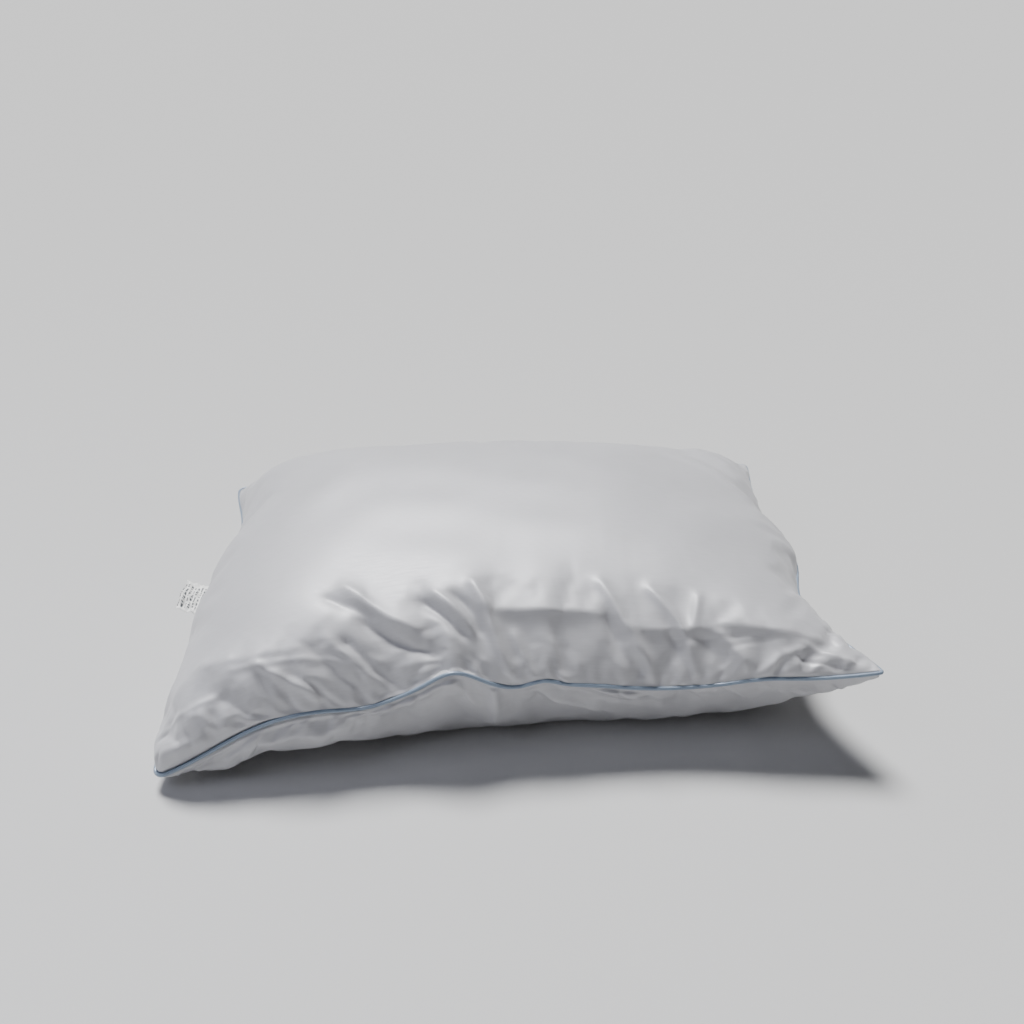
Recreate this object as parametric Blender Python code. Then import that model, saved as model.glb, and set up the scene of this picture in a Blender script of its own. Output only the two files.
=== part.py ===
"""A filled bed pillow: two sateen panels joined by a piped seam round a fibre fill, with its sewn-in labels.

Units are metres and +Z is up. The origin lies on the resting face, under the middle of the seam's outline.
The front long side faces -Y. The labels are caught in the left short side, which faces -X.
"""

import math

import bmesh
import bpy
from mathutils import Vector

# The filled pillow
PILLOW_LENGTH = 0.662  # corner to corner of the seam, along X
PILLOW_WIDTH = 0.460  # corner to corner of the seam, along Y
LOFT = 0.172  # resting face to the top of the crown
CROWN_FULLNESS = 2.6  # higher is flatter on top and blunter at the sides
TOP_STEEPNESS = 0.6  # lower rises more steeply from the seam
UNDERSIDE_STEEPNESS = 0.48
UNDERSIDE_SPREAD = 1.45  # higher rests on a wider patch

# The seam's outline, seen from above
LONG_SIDE_PULL = 0.018  # how far the front and back sides draw in at their middles
LEFT_SIDE_PULL = 0.010
RIGHT_SIDE_PULL = 0.024
FRONT_LEFT_REACH = 0.010  # how much further out the drooping front left corner lies
CORNER_RADIUS = 0.018
CORNER_SPREAD = 12  # higher keeps the rounding closer to the corner

# The seam's height above the resting face
FRONT_LEFT_HEIGHT = 0.018
FRONT_RIGHT_HEIGHT = 0.098
BACK_RIGHT_HEIGHT = 0.066
BACK_LEFT_HEIGHT = 0.055
# Swells along each side: place from 0 to 1, height and spread as a share of the side
FRONT_SWELLS = ((0.25, 0.036, 0.16), (0.53, 0.023, 0.17), (0.41, 0.018, 0.035))
BACK_SWELLS = ((0.50, 0.022, 0.30),)
LEFT_SWELLS = ((0.50, 0.026, 0.30),)
RIGHT_SWELLS = ((0.55, 0.006, 0.25),)

# Cloth, cord and thread
CLOTH = 0.0004
CORD_DIAMETER = 0.0024
SEAM_ALLOWANCE = 0.010  # from the piping's centre to the cut edges inside
THREAD_DIAMETER = 0.0003
CHAIN_DIAMETER = 0.0006  # the overlocked chain round the cut edges
STITCH_INSET = 0.004  # from the piping's centre to the seam's stitch line
CLOSING_START = 0.30  # the opening in the right side, closed after filling
CLOSING_END = 0.70

# Labels
CARE_LABEL_WIDTH = 0.040
CARE_LABEL_REACH = 0.028
CONTENT_LABEL_WIDTH = 0.036
CONTENT_LABEL_REACH = 0.024
LABEL_THICKNESS = 0.00025
LABEL_PLACE = -0.08  # along the left side, from -1 at the front corner to 1 at the back corner
LABEL_LIFT = 0.0011  # from the top of the piping to the hinge line of the labels
LABEL_CURL = 0.006  # how far the free end turns up
LABEL_WAVE = 0.0012

# Clearances
GAP = 0.0003
LAYER_GAP = 0.0006  # between the piping's flanges and the panels' allowances
FOLD_GAP = 0.0006  # from the piping to the panels' folds
FILL_GAP = 0.0006
LABEL_GAP = 0.0006
ALLOWANCE_TO_FILL = 0.002

# Facets
LENGTH_CELLS = 22
WIDTH_CELLS = 16
PIPING_SECTION_STEPS = 6
LABEL_CELLS = (6, 5)

# The piped seam's layers, measured from the piping's centre
COVER_INNER = CORD_DIAMETER / 2 + GAP
COVER_OUTER = COVER_INNER + CLOTH
FLANGE_BOTTOM = GAP / 2
FLANGE_TOP = FLANGE_BOTTOM + CLOTH
ALLOWANCE_BOTTOM = FLANGE_TOP + LAYER_GAP
ALLOWANCE_TOP = ALLOWANCE_BOTTOM + CLOTH
NOSE_INSET = math.sqrt((COVER_OUTER + FOLD_GAP) ** 2 - ALLOWANCE_BOTTOM**2)
NOSE_TOP = ALLOWANCE_TOP + GAP / 2
FIRST_RING = SEAM_ALLOWANCE + CHAIN_DIAMETER + 3 * GAP + ALLOWANCE_TO_FILL
SIDE_STEP = 1e-4  # a short step along a side, for reading its direction


def clear_scene():
    for old in list(bpy.data.objects):
        bpy.data.objects.remove(old, do_unlink=True)


def material(name, colour, roughness, metallic=0.0):
    """A plain finish, with its colour in linear light."""
    made = bpy.data.materials.new(name)
    made.use_nodes = True
    shader = made.node_tree.nodes["Principled BSDF"]
    shader.inputs["Base Color"].default_value = (*colour, 1.0)
    shader.inputs["Roughness"].default_value = roughness
    shader.inputs["Metallic"].default_value = metallic
    return made


def side_height(place, start, end, swells):
    """Height of the seam along one side, with place from 0 at its start to 1 at its end."""
    fade = 1 - (2 * place - 1) ** 8
    lift = sum(rise * math.exp(-(((place - centre) / spread) ** 2)) for centre, rise, spread in swells)
    return start + (end - start) * place + fade * lift


def seam_height(u, v):
    """Height of the seam's sides, carried smoothly across the pillow, with u and v from -1 to 1."""
    across = (u + 1) / 2
    along = (v + 1) / 2
    front = side_height(across, FRONT_LEFT_HEIGHT, FRONT_RIGHT_HEIGHT, FRONT_SWELLS)
    back = side_height(across, BACK_LEFT_HEIGHT, BACK_RIGHT_HEIGHT, BACK_SWELLS)
    left = side_height(along, FRONT_LEFT_HEIGHT, BACK_LEFT_HEIGHT, LEFT_SWELLS)
    right = side_height(along, FRONT_RIGHT_HEIGHT, BACK_RIGHT_HEIGHT, RIGHT_SWELLS)
    front_corners = FRONT_LEFT_HEIGHT * (1 - across) + FRONT_RIGHT_HEIGHT * across
    back_corners = BACK_LEFT_HEIGHT * (1 - across) + BACK_RIGHT_HEIGHT * across
    corners = front_corners * (1 - along) + back_corners * along
    return front * (1 - along) + back * along + left * (1 - across) + right * across - corners


def plan(u, v):
    """Place seen from above: straight sides drawn in at their middles, and rounded corners."""
    rounding = CORNER_RADIUS * (1 - math.sqrt(0.5)) * abs(u * v) ** CORNER_SPREAD
    side_pull = LEFT_SIDE_PULL + (RIGHT_SIDE_PULL - LEFT_SIDE_PULL) * (u + 1) / 2
    half_length = PILLOW_LENGTH / 2 - side_pull * (1 - v * v) - rounding
    half_width = PILLOW_WIDTH / 2 - LONG_SIDE_PULL * (1 - u * u) - rounding
    reach = FRONT_LEFT_REACH * (1 - u) * (1 - v) / 4
    return u * half_length - reach, v * half_width - reach


def crown(u, v, steepness):
    """How full the pillow is here, from 0 at the seam to 1 in the middle."""
    from_ends = 1 - abs(u) ** CROWN_FULLNESS
    from_sides = 1 - abs(v) ** CROWN_FULLNESS
    if from_ends <= 0 or from_sides <= 0:
        return 0.0
    both = from_ends * from_sides
    return (both / (from_ends + from_sides - both)) ** steepness


def seam_point(u, v):
    return Vector((*plan(u, v), seam_height(u, v)))


def top_point(u, v):
    seam = seam_height(u, v)
    return Vector((*plan(u, v), seam + (LOFT - seam) * crown(u, v, TOP_STEEPNESS)))


def underside_point(u, v):
    rest = min(1.0, UNDERSIDE_SPREAD * crown(u, v, UNDERSIDE_STEEPNESS))
    return Vector((*plan(u, v), seam_height(u, v) * (1 - rest)))


def spaced(cells, half):
    """Grid lines from -1 to 1: one ring clears the seam allowance, the rest crowd towards the sides."""
    inner = 1 - FIRST_RING / half
    evenly = [-1 + 2 * step / (cells - 2) for step in range(cells - 1)]
    eased = [inner * (math.sin(math.pi * place / 2) + place) / 2 for place in evenly]
    return [-1.0] + eased + [1.0]


LENGTH_LINES = spaced(LENGTH_CELLS, PILLOW_LENGTH / 2)
WIDTH_LINES = spaced(WIDTH_CELLS, PILLOW_WIDTH / 2)


def ring_of(inset):
    """Grid places once round, anticlockwise from the front left corner, this many lines in from the side."""
    last_i = LENGTH_CELLS - inset
    last_j = WIDTH_CELLS - inset
    front = [(i, inset) for i in range(inset, last_i)]
    right = [(last_i, j) for j in range(inset, last_j)]
    back = [(i, last_j) for i in range(last_i, inset, -1)]
    left = [(inset, j) for j in range(last_j, inset, -1)]
    return front + right + back + left


STATIONS = ring_of(0)


def station_point(index):
    i, j = STATIONS[index % len(STATIONS)]
    return seam_point(LENGTH_LINES[i], WIDTH_LINES[j])


def station_axes(index):
    """The ways out of and up from the seam at this station, square to it and level with the seam's surface."""
    i, j = STATIONS[index % len(STATIONS)]
    u, v = LENGTH_LINES[i], WIDTH_LINES[j]
    here = seam_point(u, v)
    ahead = (station_point(index + 1) - here).normalized()
    behind = (here - station_point(index - 1)).normalized()
    tangent = (ahead + behind).normalized()
    inner_u = u * (1 - SIDE_STEP) if abs(u) == 1 else u
    inner_v = v * (1 - SIDE_STEP) if abs(v) == 1 else v
    outward = here - seam_point(inner_u, inner_v)
    outward = (outward - tangent * outward.dot(tangent)).normalized()
    return outward, outward.cross(tangent)


def seam_place(index, outward, up):
    """A point of the seam's section at this station: so far out from the piping's centre, and so far up."""
    out_axis, up_axis = station_axes(index)
    return station_point(index) + out_axis * outward + up_axis * up


def seam_loop(outward, up):
    return [seam_place(index, outward, up) for index in range(len(STATIONS))]


def add_object(name, mesh, finish, smooth=True):
    made = bpy.data.objects.new(name, mesh)
    bpy.context.scene.collection.objects.link(made)
    made.data.materials.append(finish)
    if smooth:
        mesh.shade_smooth()
        mesh.set_sharp_from_angle(angle=math.radians(50))
    return made


def mesh_of(name, bm):
    bmesh.ops.recalc_face_normals(bm, faces=bm.faces)
    mesh = bpy.data.meshes.new(name)
    bm.to_mesh(mesh)
    bm.free()
    return mesh


def join_loops(bm, outer, inner):
    """Faces between two closed loops with as many points each."""
    count = len(outer)
    for index in range(count):
        after = (index + 1) % count
        bm.faces.new((outer[index], outer[after], inner[after], inner[index]))


def fill_grid(bm, corner_of, i_range, j_range):
    """Two triangles to a cell, their shared edge always running the same way, so that layers match."""
    for i in i_range:
        for j in j_range:
            a, b = corner_of[i, j], corner_of[i + 1, j]
            c, d = corner_of[i + 1, j + 1], corner_of[i, j + 1]
            rising = (2 * i + 1 - LENGTH_CELLS) * (2 * j + 1 - WIDTH_CELLS) > 0
            triangles = ((a, b, c), (a, c, d)) if rising else ((a, b, d), (b, c, d))
            for triangle in triangles:
                bm.faces.new(triangle)


def thicken(made, thickness):
    """Gives cloth its thickness on the side away from its face."""
    solidify = made.modifiers.new("cloth", "SOLIDIFY")
    solidify.thickness = thickness
    solidify.offset = -1
    solidify.use_even_offset = True


def panel(name, surface_point, up, finish):
    """One cut panel: its face, the fold at the piping and its seam allowance turned inside.

    up is 1 for the top panel and -1 for the bottom one. Returns the places just inside the panel
    for the fill, by grid place.
    """
    bm = bmesh.new()
    corner_of = {}
    for i, u in enumerate(LENGTH_LINES):
        for j, v in enumerate(WIDTH_LINES):
            corner_of[i, j] = bm.verts.new(surface_point(u, v))
    for index, place in enumerate(STATIONS):
        corner_of[place].co = seam_place(index, -NOSE_INSET, up * NOSE_TOP)
    fill_grid(bm, corner_of, range(LENGTH_CELLS), range(WIDTH_CELLS))

    fold = [corner_of[place] for place in STATIONS]
    nose = [bm.verts.new(point) for point in seam_loop(-NOSE_INSET, up * ALLOWANCE_BOTTOM)]
    cut_edge = [bm.verts.new(point) for point in seam_loop(-SEAM_ALLOWANCE, up * ALLOWANCE_BOTTOM)]
    join_loops(bm, nose, fold)
    join_loops(bm, cut_edge, nose)
    bmesh.ops.recalc_face_normals(bm, faces=bm.faces)
    centre = corner_of[LENGTH_CELLS // 2, WIDTH_CELLS // 2]
    if centre.normal.z * up < 0:
        bmesh.ops.reverse_faces(bm, faces=bm.faces)
    bm.normal_update()
    inside = {place: vert.co - vert.normal * (CLOTH + FILL_GAP) for place, vert in corner_of.items()}
    mesh = bpy.data.meshes.new(name)
    bm.to_mesh(mesh)
    bm.free()
    thicken(add_object(name, mesh, finish), CLOTH)
    return inside


def fibre_fill(under_top, over_bottom, finish):
    """The fibre fill: it follows both panels and ends short of the seam allowances."""
    bm = bmesh.new()
    upper = {}
    lower = {}
    for i in range(1, LENGTH_CELLS):
        for j in range(1, WIDTH_CELLS):
            upper[i, j] = bm.verts.new(under_top[i, j])
            lower[i, j] = bm.verts.new(over_bottom[i, j])
    fill_grid(bm, upper, range(1, LENGTH_CELLS - 1), range(1, WIDTH_CELLS - 1))
    fill_grid(bm, lower, range(1, LENGTH_CELLS - 1), range(1, WIDTH_CELLS - 1))
    rim = ring_of(1)
    join_loops(bm, [lower[place] for place in rim], [upper[place] for place in rim])
    add_object("fibre_fill", mesh_of("fibre_fill", bm), finish)


def arc(radius, first, last, steps):
    """Points (outward, up) along an arc about the piping's centre."""
    turns = [first + (last - first) * step / steps for step in range(steps + 1)]
    return [(radius * math.cos(turn), radius * math.sin(turn)) for turn in turns]


def piping_cover(finish):
    """The bias strip folded round the cord, with both of its edges carried into the seam."""
    outer_turn = math.pi - math.asin(FLANGE_TOP / COVER_OUTER)
    inner_turn = math.pi - math.asin(FLANGE_BOTTOM / COVER_INNER)
    section = [(-SEAM_ALLOWANCE, FLANGE_TOP)]
    section += arc(COVER_OUTER, outer_turn, -outer_turn, PIPING_SECTION_STEPS)
    section += [(-SEAM_ALLOWANCE, -FLANGE_TOP), (-SEAM_ALLOWANCE, -FLANGE_BOTTOM)]
    section += arc(COVER_INNER, -inner_turn, inner_turn, PIPING_SECTION_STEPS)
    section += [(-SEAM_ALLOWANCE, FLANGE_BOTTOM)]
    bm = bmesh.new()
    rails = [[bm.verts.new(point) for point in seam_loop(*place)] for place in section]
    for index, rail in enumerate(rails):
        join_loops(bm, rail, rails[(index + 1) % len(rails)])
    add_object("piping_cover", mesh_of("piping_cover", bm), finish)


def seam_curve(name, diameter, points, closed, resolution, finish):
    """A cord or thread that follows the seam."""
    curve = bpy.data.curves.new(name, "CURVE")
    curve.dimensions = "3D"
    curve.bevel_depth = diameter / 2
    curve.bevel_resolution = resolution
    curve.use_fill_caps = not closed
    spline = curve.splines.new("POLY")
    spline.points.add(len(points) - 1)
    spline.use_cyclic_u = closed
    for held, point in zip(spline.points, points):
        held.co = (*point, 1.0)
    made = bpy.data.objects.new(name, curve)
    bpy.context.scene.collection.objects.link(made)
    curve.materials.append(finish)


def seam_threads(finish):
    """Needle and bobbin threads of the piped seam, the closing thread and the overlocked chain."""
    above = ALLOWANCE_TOP + GAP + THREAD_DIAMETER / 2
    right_side = [index for index, (i, _) in enumerate(STATIONS) if i == LENGTH_CELLS]
    closing = [
        index
        for index in right_side
        if CLOSING_START <= (WIDTH_LINES[STATIONS[index][1]] + 1) / 2 <= CLOSING_END
    ]
    first, last = closing[0], closing[-1]
    sewn_first = [index % len(STATIONS) for index in range(last + 1, first + len(STATIONS))]
    for name, level in (("seam_needle_thread", above), ("seam_bobbin_thread", -above)):
        line = [seam_place(index, -STITCH_INSET, level) for index in sewn_first]
        seam_curve(name, THREAD_DIAMETER, line, False, 0, finish)
    line = [seam_place(index, -STITCH_INSET, above) for index in closing]
    seam_curve("closing_seam_thread", THREAD_DIAMETER, line, False, 0, finish)
    chain_inset = SEAM_ALLOWANCE + 2 * GAP + CHAIN_DIAMETER / 2
    seam_curve("overlock_thread", CHAIN_DIAMETER, seam_loop(-chain_inset, 0), True, 0, finish)


def left_side_frame(v):
    """The seam's point on the left side, its direction towards the back, and the way out from it."""
    point = seam_point(-1, v)
    tangent = (seam_point(-1, v + SIDE_STEP) - seam_point(-1, v - SIDE_STEP)).normalized()
    outward = Vector((-tangent.y, tangent.x, 0)).normalized()
    return point, tangent, outward


def label_hinge():
    """The line that the labels turn about, just above the piping, as (point, direction)."""
    point, tangent, _ = left_side_frame(LABEL_PLACE)
    return point + Vector((0, 0, COVER_OUTER + LABEL_LIFT)), tangent


def label(name, width, reach, lift, hinge, finish):
    """One cloth leaf: it leaves the seam level, and its free end curls up with a slight wave."""
    across, along = LABEL_CELLS
    bm = bmesh.new()
    rows = []
    for step in range(across + 1):
        offset = (step / across - 0.5) * width
        root, _, outward = left_side_frame(LABEL_PLACE + 2 * offset / PILLOW_WIDTH)
        row = []
        for place in range(along + 1):
            out = reach * place / along
            curl = LABEL_CURL * (out / CARE_LABEL_REACH) ** 2
            wave = LABEL_WAVE * out / CARE_LABEL_REACH * math.cos(3 * math.pi * offset / CARE_LABEL_WIDTH)
            height = COVER_OUTER + LABEL_LIFT + lift + curl + wave
            row.append(bm.verts.new(root + outward * out + Vector((0, 0, height)) - hinge.location))
        rows.append(row)
    for row, after in zip(rows, rows[1:]):
        for place in range(along):
            bm.faces.new((row[place], row[place + 1], after[place + 1], after[place]))
    mesh = mesh_of(name, bm)
    made = add_object(name, mesh, finish)
    made.parent = hinge
    thicken(made, LABEL_THICKNESS)


def labels(finish):
    hinge = bpy.data.objects.new("label_hinge", None)
    bpy.context.scene.collection.objects.link(hinge)
    hinge.location = label_hinge()[0]
    label("care_label", CARE_LABEL_WIDTH, CARE_LABEL_REACH, LABEL_GAP / 2, hinge, finish)
    label("content_label", CONTENT_LABEL_WIDTH, CONTENT_LABEL_REACH, -LABEL_GAP / 2, hinge, finish)


def main():
    clear_scene()
    sateen = material("silver_sateen", (0.61, 0.61, 0.62), 0.42)
    piping = material("slate_blue_sateen", (0.29, 0.37, 0.47), 0.45)
    cotton = material("white_cotton_cord", (0.80, 0.79, 0.75), 0.85)
    polyester = material("white_polyester_fibre", (0.88, 0.88, 0.87), 0.90)
    grey_thread = material("grey_thread", (0.55, 0.56, 0.58), 0.60)
    tape = material("white_label_tape", (0.80, 0.80, 0.80), 0.60)

    under_top = panel("top_panel", top_point, 1, sateen)
    over_bottom = panel("bottom_panel", underside_point, -1, sateen)
    fibre_fill(under_top, over_bottom, polyester)
    piping_cover(piping)
    seam_curve("piping_cord", CORD_DIAMETER, seam_loop(0, 0), True, 1, cotton)
    seam_threads(grey_thread)
    labels(tape)


main()
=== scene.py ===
"""Bed pillow: a sateen casing with a piped seam, its fibre fill and its sewn-in labels.

Units are metres and +Z is up. The origin lies on the resting face, under the middle of the seam's outline.
The front long side faces -Y. The labels are caught in the left short side, which faces -X.
"""

import functools
import math

import bpy
import numpy as np
from mathutils import Matrix, Vector


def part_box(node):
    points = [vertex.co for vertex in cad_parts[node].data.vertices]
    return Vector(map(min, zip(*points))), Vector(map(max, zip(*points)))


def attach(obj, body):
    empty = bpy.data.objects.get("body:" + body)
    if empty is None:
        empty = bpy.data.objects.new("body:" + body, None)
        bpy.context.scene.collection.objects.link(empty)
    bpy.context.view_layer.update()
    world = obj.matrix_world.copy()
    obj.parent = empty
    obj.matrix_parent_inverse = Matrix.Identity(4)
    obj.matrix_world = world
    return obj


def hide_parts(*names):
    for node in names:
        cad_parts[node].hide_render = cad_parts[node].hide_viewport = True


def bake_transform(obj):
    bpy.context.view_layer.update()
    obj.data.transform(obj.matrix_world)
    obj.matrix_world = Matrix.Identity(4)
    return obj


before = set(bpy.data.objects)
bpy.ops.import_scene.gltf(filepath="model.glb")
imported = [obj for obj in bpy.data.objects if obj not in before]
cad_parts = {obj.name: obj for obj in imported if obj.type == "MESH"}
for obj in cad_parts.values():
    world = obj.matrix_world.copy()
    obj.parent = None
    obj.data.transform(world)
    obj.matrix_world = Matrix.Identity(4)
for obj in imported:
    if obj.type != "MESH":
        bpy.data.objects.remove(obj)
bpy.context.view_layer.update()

bl_info = {
    "name": "Bed pillow",
    "version": (1, 0, 0),
    "blender": (4, 5, 0),
    "location": "3D View > Sidebar > Pillow",
    "description": "Sews and fills a piped sateen bed pillow, part by part",
    "category": "Object",
}

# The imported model's own sizes
PIPING_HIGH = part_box("piping_cover")[1]
PANEL_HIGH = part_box("top_panel")[1]
PIPING_RADIUS = 0.0019
CORNER_BLUNTING = 0.0053  # how far the corners stop short of where the straight sides would meet

# Form of the filled pillow
CROWN_FULLNESS = 2.6
TOP_STEEPNESS = 0.60
UNDERSIDE_STEEPNESS = 0.48
UNDERSIDE_SPREAD_LEFT = 1.50
UNDERSIDE_SPREAD_RIGHT = 1.45
# How far the underside stands out past the front seam at the left end, and how far it draws back at the right
UNDERSIDE_BELLY_LEFT = 0.008
UNDERSIDE_BELLY_RIGHT = -0.014
FRONT_SIDE_PULL = 0.026
BACK_SIDE_PULL = 0.018
LEFT_SIDE_PULL = 0.010
RIGHT_SIDE_PULL = 0.032
# Where the ends draw in, or stand out: left or right end, place along it from the front, how far in, and spread
END_TUCKS = ((-1, 0.74, 0.020, 0.20), (1, 0.22, 0.016, 0.15), (1, 0.44, -0.013, 0.11))
FRONT_LEFT_REACH = 0.010
FRONT_RIGHT_REACH = 0.006
BLUNTING_SPREAD = 12
OVERHANG = {"left": 0.002, "right": 0.004, "back": 0.004}  # how far the full cloth stands out past the seam
CORNER_RADII = {"front left": 0.013, "front right": 0.003, "back left": 0.010, "back right": 0.010}
# Flat ears at the corners: how much of the fullness is lost, and over what distance
CORNER_EARS = {
    "front left": (0.30, 0.025),
    "front right": (0.58, 0.062),
    "back left": (0.85, 0.044),
    "back right": (0.8, 0.046),
}

# Height of the seam at its corners, and its swells: place along the side, rise, and spread as a share of the side
FRONT_LEFT_HEIGHT = 0.016
FRONT_RIGHT_HEIGHT = 0.098
BACK_RIGHT_HEIGHT = 0.066
BACK_LEFT_HEIGHT = 0.055
FRONT_SWELLS = (
    (0.19, 0.039, 0.15),
    (0.47, 0.024, 0.16),
    (0.345, 0.007, 0.04),
    (0.415, 0.029, 0.052),
    (0.54, 0.007, 0.028),
    (0.60, 0.005, 0.07),
    (0.84, 0.004, 0.05),
)
BACK_SWELLS = ((0.50, 0.022, 0.30),)
LEFT_SWELLS = ((0.50, 0.026, 0.30),)
RIGHT_SWELLS = ((0.55, 0.006, 0.25),)

# Cut size of each panel, inside its seam
CUT_LENGTH = 0.712
CUT_WIDTH = 0.512

# Layers of the piped seam, measured from the piping's centre
NOSE_INSET = 0.0024
NOSE_RISE = 0.0013
ALLOWANCE = 0.010
ALLOWANCE_RISE = 0.0009
STITCH_INSET = 0.004
STITCH_RISE = 0.0017
FILL_INSET = 0.0135
FILL_GAP = 0.003  # the fill keeps this far inside the cloth, so that it stays inside at the bottom of each fold
FILL_STEP = 2  # the fill's grid takes every second line of the panels'
LEAST_FILL = 0.001
CORD_ROOM = 0.0003  # between the cord and the bias strip
FLANGE_GAP = 0.00015  # from the seam's middle to each leg of the bias strip
OVERLOCK_OUTSET = 0.0006
OVERLOCK_RADIUS = 0.0011
CLOSING_SEAM = (0.30, 0.70)  # where it starts and ends along the right end, from the front

# Distance between a panel's grid lines in millimetres, left to right and front to back: (place, distance)
LINES_ACROSS = ((-1, 1.2), (-0.96, 2.2), (0.96, 2.2), (1, 1.2))
LINES_BACK = ((-1, 1.2), (-0.9, 1.8), (-0.5, 2.0), (-0.2, 6.5), (0.90, 6.5), (1, 1.8))

# The simulated casing
RELAX_CELLS = (100, 72)
RELAX_FRAMES = 25
MOST_MOVE = 0.009
RELAX_SETTINGS = {
    "quality": 5,
    "mass": 0.1,
    "tension_stiffness": 15,
    "compression_stiffness": 15,
    "shear_stiffness": 5,
    "bending_stiffness": 2.0,
    "tension_damping": 0.5,
    "compression_damping": 0.5,
    "shear_damping": 0.5,
    "bending_damping": 0.1,
    "air_damping": 1,
    "shrink_min": -0.04,
    "vertex_group_mass": "held",
    "use_pressure": True,
    "uniform_pressure_force": 5,
}
RIPPLE_SEED = 4
RIPPLE_COUNT = 60
RIPPLE_HEIGHT = 0.00025
# Share of the simulated moves that is kept in the middle, what is added at the seam, and how far in that reaches
MOVES_KEPT, MOVES_ADDED, MOVES_REACH = 0.20, 0.40, 0.075

CREST = 0.0014  # how far the crest of a fold stays round
CREST_SPREAD = 0.62  # as a share of the fold's own spread
DIP_DEPTH, DIP_SPREAD = 0.25, 2.2  # the dip beside a fold, as shares of its height and spread
FOLD_RAMP, LUMP_RAMP = 0.007, 0.028  # how far in from the seam the folds and the lumps reach their full height
SWELL_HEIGHT = 0.0009
LEAST_HEIGHT = {1: 0.002, -1: 0.0}  # of the top panel and of the underside
# Folds of the top panel. Each is a line of places on the cloth, from -1 to 1 left to right and front to back, then
# its height in millimetres, and how far it spreads on its left and right in millimetres, going along the line.
TOP_FOLDS = (
    # The pulls that meet at the seam's high point
    (((-0.40, -0.55), (-0.30, -0.69), (-0.20, -0.79)), 8.5, 15, 10),
    (((-0.35, -0.70), (-0.27, -0.81), (-0.19, -0.88)), -10.0, 8, 11),
    (((-0.45, -0.58), (-0.38, -0.64), (-0.31, -0.70)), -5.5, 9, 11),
    (((-0.20, -0.66), (-0.14, -0.75), (-0.09, -0.84)), -10.0, 8, 7),
    (((-0.12, -0.65), (-0.07, -0.72), (-0.05, -0.82)), -8.0, 7, 8),
    (((-0.17, -0.63), (-0.11, -0.72), (-0.07, -0.82)), 5.5, 6, 6),
    (((-0.07, -0.60), (-0.03, -0.75), (0.00, -0.96)), 11.0, 12, 8),
    (((0.03, -0.80), (0.05, -0.90), (0.06, -1.00)), 6.0, 7, 6),
    (((0.12, -0.84), (0.13, -0.92), (0.14, -1.00)), 4.0, 6, 6),
    # The left of the front
    (((-0.63, -0.79), (-0.56, -0.87), (-0.50, -0.95)), 6.5, 9, 6),
    (((-0.56, -0.85), (-0.50, -0.92), (-0.46, -0.99)), -3.5, 6, 7),
    (((-0.44, -0.75), (-0.38, -0.84), (-0.33, -0.93)), 5.5, 9, 7),
    (((-0.40, -0.76), (-0.35, -0.86), (-0.30, -0.94)), -5.0, 7, 9),
    (((-0.50, -0.76), (-0.44, -0.86), (-0.39, -0.95)), -3.0, 7, 8),
    (((-0.95, -0.84), (-0.86, -0.75), (-0.76, -0.69)), 2.5, 24, 20),
    (((-0.84, -0.88), (-0.79, -0.93), (-0.76, -0.98)), 2.5, 7, 6),
    (((-0.74, -0.87), (-0.70, -0.92), (-0.68, -0.97)), -2.5, 7, 7),
    # The right of the front
    (((0.27, -0.60), (0.32, -0.78), (0.37, -0.90)), 7.5, 10, 8),
    (((0.27, -0.73), (0.29, -0.82), (0.31, -0.92)), -6.0, 8, 7),
    (((0.33, -0.84), (0.37, -0.92), (0.39, -1.00)), 5.5, 7, 6),
    (((0.40, -0.63), (0.47, -0.79), (0.49, -0.95)), 8.0, 9, 8),
    (((0.53, -0.65), (0.51, -0.72), (0.49, -0.80)), 4.0, 5, 5),
    (((0.42, -0.76), (0.44, -0.84), (0.46, -0.93)), -4.0, 8, 7),
    (((0.55, -0.80), (0.60, -0.88), (0.63, -0.97)), 6.0, 8, 7),
    (((0.51, -0.82), (0.55, -0.90), (0.57, -0.98)), -3.0, 7, 6),
    (((0.68, -0.96), (0.72, -0.90), (0.78, -0.86)), 3.0, 7, 7),
    (((0.78, -0.84), (0.86, -0.90), (0.94, -0.96)), 4.0, 8, 8),
    (((0.74, -0.89), (0.82, -0.94), (0.90, -0.98)), -2.5, 6, 7),
    # The back right
    (((0.62, 0.50), (0.78, 0.30), (0.90, 0.10)), 5.0, 14, 10),
    (((0.66, 0.62), (0.82, 0.42), (0.94, 0.22)), -5.5, 12, 10),
    (((0.72, 0.70), (0.86, 0.52), (0.97, 0.34)), 5.0, 10, 9),
    # Packing creases
    (((-0.97, -0.87), (-0.84, -0.865), (-0.69, -0.85)), 1.5, 3, 3),
    (((-0.70, -0.78), (-0.60, -0.80), (-0.50, -0.81), (-0.38, -0.85)), 1.8, 3, 3),
    (((0.46, -0.83), (0.57, -0.83), (0.70, -0.82)), -1.4, 3, 3),
    (((0.50, -0.86), (0.60, -0.86), (0.72, -0.83)), -1.2, 3, 3),
    # The edge where the crown turns down to the front
    (((-0.02, -0.71), (0.08, -0.725), (0.18, -0.725), (0.28, -0.735)), 9.0, 52, 17),
    (((0.33, -0.78), (0.40, -0.79), (0.48, -0.79), (0.56, -0.78)), 7.0, 46, 15),
    (((0.56, -0.77), (0.66, -0.79), (0.76, -0.80), (0.84, -0.82)), 6.0, 40, 15),
    (((-0.80, -0.70), (-0.70, -0.74), (-0.60, -0.77), (-0.50, -0.76)), 3.5, 34, 15),
)

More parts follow.
